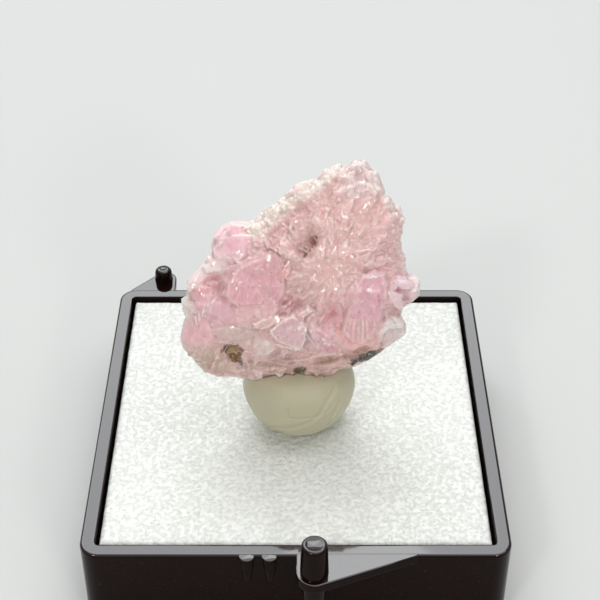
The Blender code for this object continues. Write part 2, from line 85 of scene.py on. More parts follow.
def opaque(colour: Triple) -> tuple[float, float, float, float]:
    """The colour with an alpha of one, as a socket takes it."""
    return (*colour, 1.0)


def blend_step(low: float, high: float, value: Array) -> Array:
    """A soft step: 0 below low, 1 above high, and the cubic 3t^2 - 2t^3 between them."""
    share = np.clip((value - low) / (high - low), 0.0, 1.0)
    return share * share * (3.0 - 2.0 * share)


def lattice_noise(points: Array, size: float, seed: int) -> Array:
    """Smooth noise in space: random values on a cubic lattice, blended by cubic steps between corners.

    Args:
        points: Places, one row each.
        size: Length of a lattice cell.
        seed: Chooses the pattern.

    Returns:
        One value from -1 to 1 for each place.
    """
    cell = points / size
    corner = np.floor(cell).astype(np.int64)
    part = cell - corner
    part = part * part * (3.0 - 2.0 * part)
    total = np.zeros(len(points))
    for step in range(8):
        offset = np.array([step & 1, step >> 1 & 1, step >> 2 & 1])
        knot = corner + offset
        mixed = knot[:, 0] * 73856093 ^ knot[:, 1] * 19349663 ^ knot[:, 2] * 83492791 ^ seed * 2654435761
        mixed = (mixed ^ mixed >> 13) * 1274126177 & 0x7FFFFFFF
        mixed = (mixed ^ mixed >> 11) * 668265263 & 0x7FFFFFFF
        share = np.where(offset == 1, part, 1.0 - part).prod(axis=1)
        total += share * (mixed / 0x3FFFFFFF - 1.0)
    return total


def layered_noise(points: Array, size: float, seed: int, layers: int = 3) -> Array:
    """Sum of lattice noise, each layer half the size and half the strength of the one before.

    Args:
        points: Places, one row each.
        size: Cell of the first layer.
        seed: Chooses the pattern.
        layers: How many layers are summed.

    Returns:
        One value for each place.
    """
    total = np.zeros(len(points))
    for layer in range(layers):
        total += lattice_noise(points, size / 2**layer, seed + layer) / 2**layer
    return total / 1.75


def wander(points: Array, size: float, seed: int) -> Array:
    """Two columns of layered noise, to move places about on the face."""
    return np.stack([layered_noise(points, size, seed), layered_noise(points, size, seed + 10)], axis=1)


def laid_over(colour: Array, over: Array | Triple, share: Array) -> Array:
    """Colours with another laid over them: colour (1 - share) + over share."""
    return colour * (1.0 - share) + np.array(over) * share


def grid_faces(rows: int, columns: int, start: int = 0, around: bool = False) -> Array:
    """Squares of a grid of points numbered row by row.

    Args:
        rows: Points down the grid.
        columns: Points across it.
        start: Number of the first point.
        around: Whether the last column joins the first.

    Returns:
        Four point numbers for each square, turning from a row towards the next column.
    """
    across = columns if around else columns - 1
    row, column = np.meshgrid(np.arange(rows - 1), np.arange(across), indexing="ij")
    row, column = row.ravel(), column.ravel()
    beside = (column + 1) % columns
    return start + np.stack(
        [row * columns + column, (row + 1) * columns + column, (row + 1) * columns + beside,
         row * columns + beside], axis=1)


def lathe_blocks(rings: int, columns: int, start: int = 0) -> list[Array]:
    """Faces of a closed turned shape: a bottom pole, its rings from the bottom up, then a top pole.

    Args:
        rings: How many rings.
        columns: Points in each.
        start: Number of the first point.

    Returns:
        Blocks of faces, as point numbers.
    """
    first = start + 1 + np.arange(columns)
    last = first + (rings - 1) * columns
    low, high = np.full(columns, start), np.full(columns, start + 1 + rings * columns)
    return [grid_faces(rings, columns, start + 1, True)[:, ::-1],
            np.stack([low, np.roll(first, -1), first], axis=1),
            np.stack([high, last, np.roll(last, -1)], axis=1)]


def stack_blocks(loops: int, columns: int, start: int = 0) -> list[Array]:
    """Faces of a stack of loops, from the first to the last, with a flat face closing each end.

    Args:
        loops: How many loops.
        columns: Points in each.
        start: Number of the first point.

    Returns:
        Blocks of faces, as point numbers.
    """
    first = start + np.arange(columns)
    return [grid_faces(loops, columns, start, True)[:, ::-1], first[None, ::-1],
            first[None] + (loops - 1) * columns]


def make_piece(name: str, points: Array, blocks: Sequence[Array], sharp: float = 180.0) -> bpy.types.Object:
    """Make a smooth-shaded mesh piece at the origin.

    Args:
        name: Name of the piece.
        points: Points in millimetres, one row each.
        blocks: Arrays of point numbers, one row a face.
        sharp: Edges that bend by more than this many degrees are shaded sharp.

    Returns:
        The new object, linked to the scene.
    """
    mesh = bpy.data.meshes.new(name)
    mesh.from_pydata((points * MM).tolist(), [], [face for block in blocks for face in block.tolist()])
    mesh.shade_smooth()
    if sharp < 180.0:
        mesh.set_sharp_from_angle(angle=math.radians(sharp))
    mesh.update()
    piece = bpy.data.objects.new(name, mesh)
    bpy.context.scene.collection.objects.link(piece)
    return piece


def give_attribute(piece: bpy.types.Object, name: str, values: Array) -> None:
    """Store a number, a vector or a colour on every point of a piece, or on every face.

    Args:
        piece: The piece.
        name: Name of the attribute, read by its material.
        values: One row for each point or for each face, of one, three or four numbers.
    """
    kind, slot_name = {1: ("FLOAT", "value"), 3: ("FLOAT_VECTOR", "vector"), 4: ("FLOAT_COLOR", "color")}[
        values.reshape(len(values), -1).shape[1]]
    domain = "POINT" if len(values) == len(piece.data.vertices) else "FACE"
    layer = piece.data.attributes.new(name, kind, domain)
    layer.data.foreach_set(slot_name, values.astype(np.float32).ravel())


def seat(piece: bpy.types.Object, node: str) -> None:
    """Make a piece stand for a node of the model: it rides on the one body, and the node's own part is
    hidden.

    Args:
        piece: The finished piece.
        node: The node that it stands for.
    """
    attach(piece, "root")
    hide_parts(node)
    LOG.info("%s: %d faces, for %s", piece.name, len(piece.data.polygons), node)


class Wiring:
    """Adds nodes to one node tree and links them."""

    def __init__(self, tree: bpy.types.NodeTree) -> None:
        """Keep the tree, and place new nodes from left to right."""
        self.tree = tree
        self.column = 0

    def add(self, kind: str, values: dict | None = None, **settings: object) -> bpy.types.Node:
        """Add a node.

        Args:
            kind: Blender's name of the node type.
            values: Input values by socket name or number; a socket given here is linked instead.
            settings: Properties of the node itself.

        Returns:
            The new node.
        """
        node = self.tree.nodes.new(kind)
        self.column += 1
        node.location = (180 * self.column, -40 * (self.column % 5))
        for name, value in settings.items():
            setattr(node, name, value)
        self.set(node, values or {})
        return node

    def set(self, node: bpy.types.Node, values: dict) -> None:
        """Give inputs of a node their values by socket name or number; a socket given here is linked.

        Args:
            node: The node.
            values: Values or sockets, by the input's name or number.
        """
        for key, value in values.items():
            if isinstance(value, bpy.types.NodeSocket):
                self.tree.links.new(value, node.inputs[key])
            else:
                node.inputs[key].default_value = value

    def group(self, tree: bpy.types.NodeTree, values: dict) -> bpy.types.Node:
        """Add one of the shared groups, with its inputs set or linked."""
        return self.add("ShaderNodeGroup", values, node_tree=tree)

    def sum(self, kind: str, *terms: object, clamp: bool = False) -> bpy.types.NodeSocket:
        """The result of one Math node of this kind on up to three numbers or sockets."""
        return self.add("ShaderNodeMath", dict(enumerate(terms)), operation=kind, use_clamp=clamp).outputs[0]

    def mix(self, share: object, first: object, second: object, way: str = "MIX") -> bpy.types.NodeSocket:
        """The colour between first and second, by share."""
        node = self.add("ShaderNodeMix", {0: share, 6: first, 7: second}, data_type="RGBA", blend_type=way)
        return node.outputs[2]

    def ramp(self, value: bpy.types.NodeSocket, low: float, high: float) -> bpy.types.NodeSocket:
        """Value stretched so that low gives 0 and high gives 1."""
        return self.add("ShaderNodeMapRange", {0: value, 1: low, 2: high}).outputs[0]

    def attribute(self, name: str, output: str) -> bpy.types.NodeSocket:
        """One of the outputs of a mesh attribute."""
        return self.add("ShaderNodeAttribute", attribute_name=name).outputs[output]

    def vector(self, kind: str, *terms: object) -> bpy.types.NodeSocket:
        """The result of one Vector Math node of this kind; the second term of SCALE is a number."""
        keys = (0, "Scale") if kind == "SCALE" else (0, 1)
        return self.add("ShaderNodeVectorMath", dict(zip(keys, terms)), operation=kind).outputs[0]

    def tilt(self, normal: object, chance: object, share: object) -> bpy.types.NodeSocket:
        """The normal, turned by each facet's own random vector: normalise(normal + share (chance - 0.5))."""
        part = self.vector("SCALE", self.vector("SUBTRACT", chance, (0.5, 0.5, 0.5)), share)
        return self.vector("NORMALIZE", self.vector("ADD", normal, part))

    def warp(self, where: object, scale: float, reach: float) -> bpy.types.NodeSocket:
        """The place moved by noise of this scale, by up to reach."""
        sway = self.add("ShaderNodeTexNoise", {"Vector": where, "Scale": scale, "Detail": 1.0})
        return self.vector("ADD", where, self.vector("SCALE", sway.outputs["Color"], reach))

    def bump(self, height: object, strength: float, distance: float) -> bpy.types.NodeSocket:
        """The normal of a Bump node."""
        return self.add("ShaderNodeBump", {"Height": height, "Strength": strength,
                                           "Distance": distance}).outputs[0]

    def noise(self, scale: float, detail: float = 3.0, vector: object = None) -> bpy.types.NodeSocket:
        """Noise of a scale per metre on Object coordinates, or on the vector given.

        Args:
            scale: Scale of the noise.
            detail: How many layers.
            vector: Where it is read.

        Returns:
            Its value.
        """
        if vector is None:
            vector = self.add("ShaderNodeTexCoord").outputs["Object"]
        node = self.add("ShaderNodeTexNoise", {"Vector": vector, "Scale": scale, "Detail": detail})
        return node.outputs[0]


def build_group(name: str, inputs: Sequence[tuple[str, str, object]], outputs: Sequence[tuple[str, str]],
                fill: Callable[[Wiring, dict], dict]) -> bpy.types.NodeTree:
    """Build a shader node group.

    Args:
        name: Name of the group.
        inputs: Name, socket type and starting value of each input.
        outputs: Name and socket type of each output.
        fill: Adds the nodes, and returns the socket for each output by name.

    Returns:
        The group's tree.
    """
    tree = bpy.data.node_groups.new(name, "ShaderNodeTree")
    for label, kind, value in inputs:
        socket = tree.interface.new_socket(label, in_out="INPUT", socket_type=kind)
        socket.default_value = value
    for label, kind in outputs:
        tree.interface.new_socket(label, in_out="OUTPUT", socket_type=kind)
    wiring = Wiring(tree)
    given = wiring.add("NodeGroupInput")
    made = fill(wiring, {label: given.outputs[label] for label, _, _ in inputs})
    wiring.add("NodeGroupOutput", made)
    return tree


class Effects:
    """The node groups that several finishes use."""

    def __init__(self) -> None:
        """Build each group once."""
        colour, number, vector = "NodeSocketColor", "NodeSocketFloat", "NodeSocketVector"
        where = ("Vector", vector, (0.0, 0.0, 0.0))
        self.grain = build_group(
            "fine_grain", [("Color", colour, (0.5, 0.5, 0.5, 1.0)), ("Size", number, 1000.0),
                           ("Spread", number, 0.2)],
            [("Color", colour), ("Height", number), ("Mask", number)], self.fill_grain)
        # Painted shade in hollows and painted highlight on crests, laid into the colour.
        self.depth = build_group(
            "painted_highlight_and_shade", [("Color", colour, (0.8, 0.5, 0.5, 1.0)), ("Crest", number, 0.0),
                                 ("Hollow", number, 0.0), ("Crest Color", colour, (1.0, 1.0, 1.0, 1.0)),
                                 ("Hollow Tint", colour, (0.8, 0.4, 0.4, 1.0))],
            [("Color", colour)], self.fill_painted_light)
        self.veins = build_group(
            "broken_veins", [where, ("Width", number, 0.06), ("Low", number, 0.5)], [("Mask", number)],
            self.fill_veins)
        self.flecks = build_group(
            "chance_flecks", [where, ("Rare", number, 0.92)], [("Bright", number), ("Dark", number)],
            self.fill_flecks)

    @staticmethod
    def fill_grain(wiring: Wiring, given: dict) -> dict:
        """Cloudy variation of two sizes: the colour is lightened and darkened by noise times Spread.

        Args:
            wiring: The wiring of the tree.
            given: The group's input sockets, by name.

        Returns:
            The output sockets, by name.
        """
        where = wiring.add("ShaderNodeTexCoord").outputs["Object"]
        fine = wiring.add("ShaderNodeTexNoise", {"Vector": where, "Scale": given["Size"], "Detail": 4.0})
        wide = wiring.add("ShaderNodeTexNoise", {
            "Vector": where, "Scale": wiring.sum("MULTIPLY", given["Size"], 0.17), "Detail": 2.0})
        both = wiring.sum("MULTIPLY_ADD", wide.outputs[0], 0.6, wiring.sum("MULTIPLY", fine.outputs[0], 0.4))
        lift = wiring.sum("MULTIPLY", wiring.sum("SUBTRACT", both, 0.5), given["Spread"])
        gain = wiring.sum("ADD", wiring.sum("MULTIPLY", lift, 4.0), 1.0)
        level = wiring.add("ShaderNodeCombineXYZ", {0: gain, 1: gain, 2: gain}).outputs[0]
        return {"Color": wiring.mix(1.0, given["Color"], level, "MULTIPLY"), "Height": both,
                "Mask": wiring.ramp(fine.outputs[0], 0.45, 0.7)}

    @staticmethod
    def fill_veins(wiring: Wiring, given: dict) -> dict:
        """Thin lines between warped cells, broken up: (1 - distance / width) where noise is over Low.

        Args:
            wiring: The wiring of the tree.
            given: The group's input sockets, by name.

        Returns:
            The output sockets, by name.
        """
        where = given["Vector"]
        cells = wiring.add("ShaderNodeTexVoronoi", {"Vector": wiring.warp(where, 0.9, 0.7), "Scale": 1.0},
                           feature="DISTANCE_TO_EDGE")
        line = wiring.sum("SUBTRACT", 1.0, wiring.sum("DIVIDE", cells.outputs["Distance"], given["Width"]),
                          clamp=True)
        part = wiring.add("ShaderNodeTexNoise", {"Vector": where, "Scale": 0.7}).outputs[0]
        part = wiring.sum("MULTIPLY", wiring.sum("SUBTRACT", part, given["Low"]), 8.0, clamp=True)
        return {"Mask": wiring.sum("MULTIPLY", line, part)}

    @staticmethod
    def fill_flecks(wiring: Wiring, given: dict) -> dict:
        """Warped cells picked by chance, bright or dark, each grown to a size of its own.

        Args:
            wiring: The wiring of the tree.
            given: The group's input sockets, by name.

        Returns:
            The output sockets, by name.
        """
        where = wiring.warp(given["Vector"], 1.7, 1.1)
        cells = wiring.add("ShaderNodeTexVoronoi", {"Vector": where, "Scale": 1.0})
        chance = wiring.add("ShaderNodeSeparateXYZ", {0: cells.outputs["Color"]}).outputs
        size = wiring.sum("MULTIPLY_ADD", chance[2], 0.45, 0.1)
        room = wiring.sum("SUBTRACT", size, cells.outputs["Distance"])
        near = wiring.sum("MULTIPLY", room, 7.0, clamp=True)
        return {label: wiring.sum("MULTIPLY", wiring.sum("GREATER_THAN", chance[axis], given["Rare"]), near)
                for axis, label in enumerate(("Bright", "Dark"))}

    @staticmethod
    def fill_painted_light(wiring: Wiring, given: dict) -> dict:
        """Painted shade and highlight: hollows are multiplied by their tint, and crests are drawn towards the
        crest colour.

        Args:
            wiring: The wiring of the tree.
            given: The group's input sockets, by name.

        Returns:
            The output sockets, by name.
        """
        low = wiring.mix(given["Hollow"], given["Color"],
                         wiring.mix(1.0, given["Color"], given["Hollow Tint"], "MULTIPLY"))
        return {"Color": wiring.mix(given["Crest"], low, given["Crest Color"])}


def new_material(name: str) -> tuple[bpy.types.Material, Wiring, bpy.types.Node]:
    """A material with its wiring and its Principled shader.

    Args:
        name: Its name.

    Returns:
        The material, its wiring and its shader.
    """
    material = bpy.data.materials.new(name)
    material.use_nodes = True
    tree = material.node_tree
    return material, Wiring(tree), tree.nodes["Principled BSDF"]


@dataclass(frozen=True)
class CalciteFinish:
    """Glassy pink calcite: tint, crest and hollow come with the mesh, streaks and grain from nodes. Pale
    crests, lines and bright flecks are partly painted highlight and glint, and hollows are darkened as
    painted shade.
    """

    # The crest colour whitens edges, partly as painted highlight; the next colour is that of painted glints;
    # the hollow tint darkens hollows as painted shade.
    crest: Triple = paint(250, 223, 216)
    painted_glint: Triple = paint(255, 246, 240)
    shade: Triple = paint(186, 128, 126)
    hollow: Triple = (0.85, 0.785, 0.77)
    roughness: float = 0.2
    scatter: float = 0.0014
    spread: float = 0.12
    streak_height: float = 0.00006

    def material(self, effects: Effects) -> bpy.types.Material:
        """Build the material.

        Args:
            effects: The shared node groups.

        Returns:
            The material.
        """
        material, wiring, shader = new_material("cobaltoan_calcite")
        crest, hollow, frost, facet = (wiring.attribute(name, "Fac")
                                       for name in ("crest", "hollow", "frost", "facet"))
        grain = wiring.group(effects.grain, {
            "Color": wiring.attribute("tint", "Color"), "Size": 1400.0, "Spread": self.spread})
        depth = wiring.group(effects.depth, {
            "Color": grain.outputs["Color"], "Crest": crest, "Hollow": hollow,
            "Crest Color": opaque(self.crest), "Hollow Tint": opaque(self.hollow)})
        growth = wiring.attribute("growth", "Vector")
        streaks = wiring.noise(1.0, 3.0, growth)
        laths = wiring.add("ShaderNodeTexVoronoi", {"Vector": growth, "Scale": 0.85})
        where = wiring.add("ShaderNodeTexCoord").outputs["Object"]
        veins, glint_fibres = (
            wiring.group(effects.veins, {"Vector": wiring.vector("SCALE", place, scale), "Width": width,
                                         "Low": low}).outputs["Mask"]
            for place, scale, width, low in ((where, 1150.0, 0.06, 0.52), (growth, 0.42, 0.10, 0.45)))
        # The lines are drawn in the pale crest colour: the veins are pale marks in the stone, the fibres
        # along the crystals are painted glint streaks.
        lines = wiring.sum("MULTIPLY_ADD", wiring.sum("MULTIPLY", glint_fibres, facet), 0.8,
                           wiring.sum("MULTIPLY", veins, 0.3), clamp=True)
        # Bright flecks where the facets are strong, and the strongest crests, are painted glints; the dark
        # flecks are random darker tone.
        flecks = wiring.group(effects.flecks, {"Vector": growth, "Rare": 0.88})
        bright = wiring.sum("MULTIPLY", flecks.outputs["Bright"], wiring.ramp(facet, 0.4, 0.85))
        bright = wiring.sum("MAXIMUM", bright, wiring.ramp(crest, 0.6, 0.95))
        colour = depth.outputs["Color"]
        for share, over in ((wiring.sum("MULTIPLY", flecks.outputs["Dark"], 0.5), self.shade),
                            (lines, self.crest), (bright, self.painted_glint)):
            colour = wiring.mix(share, colour, opaque(over))
        rough = wiring.sum("MULTIPLY_ADD", streaks, 0.22, self.roughness - 0.09)
        height = wiring.sum("MULTIPLY_ADD", grain.outputs["Height"], 0.5, streaks)
        height = wiring.sum("MULTIPLY_ADD", lines, 0.9, height)
        normal = wiring.bump(height, 0.5, self.streak_height)
        wiring.set(shader, {
            "Base Color": colour, "Roughness": wiring.sum("MULTIPLY_ADD", frost, 0.4, rough),
            "Coat Weight": wiring.sum("MULTIPLY_ADD", frost, -0.8, 0.8),
            "Normal": wiring.tilt(normal, laths.outputs["Color"], facet), "Coat Roughness": 0.085,
            "Coat IOR": 1.6, "Subsurface Weight": 0.7, "Subsurface Radius": (1.0, 0.76, 0.78),
            "Subsurface Scale": self.scatter, "IOR": 1.55, "Specular IOR Level": 0.6})
        return material


@dataclass(frozen=True)
class PuttyFinish:
    """Off-white mineral putty: waxy, softly mottled, with fine drag marks."""

    colour: Triple = paint(196, 191, 164)
    roughness: float = 0.48

    def material(self, effects: Effects) -> bpy.types.Material:
        """Build the material from the shared grain group and a soft bump.

        Args:
            effects: The shared node groups.

        Returns:
            The material.
        """
        material, wiring, shader = new_material("mineral_putty")
        grain = wiring.group(effects.grain, {"Color": opaque(self.colour), "Size": 500.0, "Spread": 0.07})
        height = grain.outputs["Height"]
        wiring.set(shader, {
            "Base Color": grain.outputs["Color"],
            "Roughness": wiring.sum("MULTIPLY_ADD", height, 0.2, self.roughness - 0.1),
            "Normal": wiring.bump(height, 0.35, 0.0001), "Subsurface Weight": 0.6,
            "Subsurface Radius": (1.0, 0.85, 0.6), "Subsurface Scale": 0.0009})
        return material


@dataclass(frozen=True)
class FoamFinish:
    """White bead foam: bright beads, greyer joints between them."""

    bead: Triple = paint(241, 243, 239)
    joint: Triple = paint(232, 235, 231)
    fleck: Triple = paint(224, 227, 222)

    def material(self, effects: Effects) -> bpy.types.Material:
        """Build the material: the mesh's joint mask greys the seams, and the grain mottles the beads.

        Args:
            effects: The shared node groups.

        Returns:
            The material.
        """
        material, wiring, shader = new_material("white_foam")
        beads = wiring.mix(wiring.attribute("joint", "Fac"), opaque(self.bead), opaque(self.joint))
        flecks = wiring.ramp(wiring.noise(2300.0, 3.0), 0.44, 0.66)
        beads = wiring.mix(flecks, beads, opaque(self.fleck))
        grain = wiring.group(effects.grain, {"Color": beads, "Size": 3200.0, "Spread": 0.04})
        height = wiring.sum("ADD", grain.outputs["Height"], flecks)
        wiring.set(shader, {
            "Base Color": grain.outputs["Color"], "Normal": wiring.bump(height, 0.7, 0.00016),
            "Roughness": wiring.sum("MULTIPLY_ADD", grain.outputs["Mask"], 0.25, 0.3),
            "Subsurface Weight": 0.8, "Subsurface Radius": (1.0, 1.0, 1.0), "Subsurface Scale": 0.0012})
        return material


@dataclass(frozen=True)
class GlossFinish:
    """Black moulded plastic: polished, with faint flow lines and a little dust."""

    colour: Triple = (0.0085, 0.0030, 0.0024)
    dust: Triple = (0.10, 0.10, 0.10)
    roughness: float = 0.09

    def material(self, effects: Effects) -> bpy.types.Material:
        """Build the material: dust specks come from the grain group's mask.

        Args:
            effects: The shared node groups.

        Returns:
            The material.
        """
        material, wiring, shader = new_material("black_gloss")
        grain = wiring.group(effects.grain, {"Color": opaque(self.colour), "Size": 900.0, "Spread": 0.1})
        specks = wiring.sum("MULTIPLY", wiring.ramp(wiring.noise(5200.0, 2.0), 0.68, 0.78), 0.35)
        height = grain.outputs["Height"]
        rough = wiring.sum("MULTIPLY_ADD", height, 0.06, self.roughness - 0.03)
        wiring.set(shader, {
            "Base Color": wiring.mix(specks, grain.outputs["Color"], opaque(self.dust)),
            "Roughness": wiring.sum("MULTIPLY_ADD", wiring.attribute("worn", "Fac"), 0.3, rough),
            "Normal": wiring.bump(height, 0.12, 0.00006), "Coat Weight": wiring.attribute("polish", "Fac"),
            "IOR": 1.54, "Specular IOR Level": 0.08, "Coat Roughness": 0.04, "Coat IOR": 1.6})
        return material


def ring(count: int, tilt: float, reach: float, turn: float = 0.0) -> Array:
    """Faces evenly spaced about a crystal's long axis.

    Args:
        count: How many faces.
        tilt: How far each leans towards the top end.
        reach: Distance of each face from the middle of a crystal of half size one.
        turn: Angle of the first face.

    Returns:
        One row a face: its normal, then its distance.
    """
    angle = np.radians(turn) + math.tau * np.arange(count) / count
    slope = math.radians(tilt)
    return np.stack([np.cos(angle) * math.cos(slope), np.sin(angle) * math.cos(slope),
                     np.full(count, math.sin(slope)), np.full(count, reach)], axis=1)


def pebble_faces(count: int = 16) -> Array:
    """Faces of a broken grain: normals along a golden spiral over a sphere, at uneven distances.

    Args:
        count: How many there are.

    Returns:
        One row a face: its normal, then its distance.
    """
    index = np.arange(count)
    z = 1.0 - 2.0 * (index + 0.5) / count
    across = np.sqrt(1.0 - z * z)
    angle = np.radians(GOLDEN_ANGLE) * index
    return np.stack([across * np.cos(angle), across * np.sin(angle), z, 0.86 + 0.1 * np.sin(5.0 * index)],
                    axis=1)


def spun(across: Array, through: Array, along: Array, spin: float) -> Array:
    """The axes, one a row, with the first two turned about the third by spin in radians."""
    return np.stack([across * math.cos(spin) + through * math.sin(spin),
                     through * math.cos(spin) - across * math.sin(spin), along])


class Form(Enum):
    """Shapes of crystal, each as the faces that bound it."""

    BLADE = "blade"
    SHEET = "sheet"
    RHOMB = "rhomb"
    TOOTH = "tooth"
    BUTTON = "button"
    PEBBLE = "pebble"

    def faces(self) -> Array:
        """The form's faces, one row each: normal, then distance."""
        return FACES[self]


FACES = {
    Form.BLADE: np.concatenate([
        ring(4, 0, 1.0), ring(4, 0, 1.16, 45), ring(2, 48, 0.94), ring(2, 64, 1.0, 90), ring(2, -48, 0.94),
        ring(2, -64, 1.0, 90), ring(1, 90, 1.0), ring(1, -90, 1.0)]),
    Form.SHEET: np.concatenate([
        ring(4, 0, 1.0), ring(2, 38, 0.98), ring(2, -52, 1.02), ring(2, 70, 1.0, 90), ring(2, -70, 1.0, 90)]),
    Form.RHOMB: np.concatenate([ring(3, 33, 0.72), ring(3, -33, 0.72, 60)]),
    Form.TOOTH: np.concatenate([ring(6, 30, 0.72), ring(3, 66, 0.91, 30), ring(6, -30, 0.72, 30)]),
    Form.BUTTON: np.concatenate([
        ring(8, 0, 0.98, 22.5), ring(8, 40, 1.20), ring(6, 68, 1.09, 15), ring(1, 90, 0.97),
        ring(1, -90, 1.0)]),
    Form.PEBBLE: pebble_faces(),
}


@dataclass(frozen=True)
class Crystal:
    """One crystal: where its middle is, how it points, its size (width, thickness, length) and form."""

    place: Triple
    heading: float
    rise: float
    spin: float
    size: Triple
    form: Form
    frost: float = 0.0

    def axes(self) -> Array:
        """Rows: across its width, through its thickness, along its length, after the spin about that.

        Returns:
            Three unit rows.
        """
        heading, rise, spin = np.radians((self.heading, self.rise, self.spin))
        along = np.array([math.cos(heading) * math.cos(rise), math.sin(heading) * math.cos(rise),
                          math.sin(rise)])
        across = np.array([-math.sin(heading), math.cos(heading), 0.0])
        return spun(across, np.cross(along, across), along, spin)


@dataclass(frozen=True)
class BladeRow:
    """A row of like blades: each moves on by step, turns by turn and rolls by roll from the last."""

    name: str
    count: int
    place: Triple
    step: Triple
    heading: float
    turn: float
    rise: float
    size: Triple
    roll: float = 25.0

    def crystals(self) -> list[Crystal]:
        """The blades of the row, in order.

        Returns:
            The crystals.
        """
        start, step = np.array(self.place), np.array(self.step)
        return [Crystal(tuple(start + step * index), self.heading + self.turn * index, self.rise,
                        self.roll * index, self.size, Form.BLADE) for index in range(self.count)]


@dataclass(frozen=True)
class Slab:
    """A broad crystal drawn by its outline on the face, with a gently tilted top and steep sides.

    Top is its height over the middle of the outline, tilt how much it climbs to the right and upwards
    for each millimetre, steep the slope of its sides, soft how far its edges are rounded, and edge how
    white they are: pale edges that are partly painted highlight.
    rim, so that the crystal stays inside it.
    """

    name: str
    outline: tuple[Pair, ...]
    top: float
    tilt: Pair = (0.0, 0.0)
    steep: float = 64.0
    soft: float = 0.12
    edge: float = 0.25
    colour: Triple | None = None
    deep: float = 2.4
    rise: float = 0.1
    smooth: bool = True

    def middle(self) -> Array:
        """The middle of the outline, at the height of the top."""
        return np.array((*np.mean(self.outline, axis=0), self.top))

    def faces(self, share: Callable[[Array, Array], Array]) -> Array:
        """Its faces about its middle: the top, the bottom, and one side through each edge of the top.

        Args:
            share: How far out a place is, from 0 in the middle of the face to 1 at its rim.

        Returns:
            One row a face: its normal, then its distance.
        """
        around = np.array(self.outline) - self.middle()[:2]
        after = np.roll(around, -1, axis=0)
        if (around[:, 0] * after[:, 1] - after[:, 0] * around[:, 1]).sum() < 0.0:
            around = around[::-1]
            after = np.roll(around, -1, axis=0)
        run = after - around
        outward = np.stack([run[:, 1], -run[:, 0]], axis=1) / np.linalg.norm(run, axis=1)[:, None]
        half_way = (around + after) / 2
        out = share(*(half_way + self.middle()[:2]).T)
        slope = np.radians(self.steep + (87.0 - self.steep) * blend_step(0.7, 0.93, out))[:, None]
        sides = np.concatenate([
            outward * np.sin(slope), np.cos(slope),
            (around * outward).sum(axis=1, keepdims=True) * np.sin(slope)
            + (half_way @ np.array(self.tilt) - self.rise)[:, None] * np.cos(slope)], axis=1)
        top = np.array((-self.tilt[0], -self.tilt[1], 1.0, 0.0)) / math.hypot(*self.tilt, 1.0)
        return np.concatenate([sides, top[None], np.array(((0.0, 0.0, -1.0, self.deep),))])


@dataclass(frozen=True)
class Patch:
    """A tint laid softly over the face round a place: reach is its half width and half height."""

    name: str
    place: Pair
    reach: Pair
    turn: float
    colour: Triple
    strength: float = 1.0

    def share(self, u: Array, v: Array) -> Array:
        """How strongly the patch shows: full in its middle, gone at about 1.4 of its reach.

        Args:
            u: Places across the face.
            v: Places up the face.

        Returns:
            Shares from 0 to its strength.
        """
        turn = math.radians(self.turn)
        du, dv = u - self.place[0], v - self.place[1]
        along = (du * math.cos(turn) + dv * math.sin(turn)) / self.reach[0]
        aside = (dv * math.cos(turn) - du * math.sin(turn)) / self.reach[1]
        return self.strength * (1.0 - blend_step(0.55, 1.35, np.hypot(along, aside)))


RIM = np.array((
    (6.4, 11.6), (7.4, 10.9), (8.0, 9.7), (8.1, 9.1), (8.8, 8.3), (9.0, 7.7), (9.7, 7.7), (10.0, 6.6),
    (9.9, 5.6), (9.7, 4.4), (9.8, 3.3), (10.3, 1.8), (10.4, 1.1), (11.7, 0.2), (11.5, -0.6), (11.5, -1.3),
    (10.7, -2.0), (9.8, -2.5), (9.6, -3.2), (10.6, -4.6), (10.3, -5.1), (8.8, -6.2), (7.2, -7.4),
    (5.8, -8.2), (3.8, -8.8), (2.8, -9.5), (1.2, -10.2), (-0.2, -10.6), (-3.1, -9.9), (-6.8, -9.5),
    (-7.5, -9.7), (-9.1, -9.1), (-10.2, -8.1), (-11.4, -6.7), (-11.7, -5.5), (-11.4, -4.1),
    (-11.1, -3.4), (-11.4, -2.5), (-11.7, -1.7), (-11.0, -1.3), (-11.0, 0.1), (-9.8, 1.3), (-8.9, 2.2),
    (-8.4, 3.2), (-8.6, 3.8), (-8.2, 4.9), (-7.2, 5.7), (-6.5, 6.0), (-4.8, 6.0), (-4.3, 6.2),
    (-3.5, 7.2), (-2.0, 8.0), (-1.0, 9.0), (0.2, 9.8), (1.2, 10.2), (2.1, 10.6), (2.7, 11.2),
    (3.5, 11.4), (4.2, 11.3), (5.1, 11.9), (5.7, 12.0),
))
# Hollows between the big crystals: u, v, radius, depth.
HOLLOWS = (
    (-8.0, 0.6, 1.3, 1.0), (-6.4, -6.0, 0.9, 1.4), (-0.6, -1.2, 1.6, 1.3), (3.2, -2.4, 1.2, 1.2),
    (1.1, 4.9, 0.9, 1.1), (0.5, 3.7, 0.7, 0.9),
)
# Where the face is glassy and smooth: u, v, half width, half height.
GLASS = (
    (-6.2, -0.1, 4.7, 3.1), (-9.9, -4.6, 1.9, 2.4), (-6.6, 4.4, 2.2, 2.1), (6.1, -1.6, 2.3, 3.6),
    (5.6, -4.4, 2.8, 1.6), (2.2, -6.9, 6.2, 1.0), (-1.0, -4.2, 2.2, 1.6), (-6.4, -4.0, 2.4, 0.8),
    (-3.4, -4.9, 1.3, 1.5), (8.9, -4.4, 1.4, 1.2),
)
# Flat breaks across the back: a point on each and the way it faces.
BREAKS = (
    ((0.0, 0.0, -3.5), (0.08, 0.10, -1.0)), ((-7.0, -2.0, -2.4), (-0.42, -0.12, -1.0)),
    ((6.5, -3.0, -2.5), (0.45, -0.22, -1.0)), ((3.0, 7.5, -1.9), (0.16, 0.55, -1.0)),
)
SPRAY_ROOT = (2.8, 1.9)


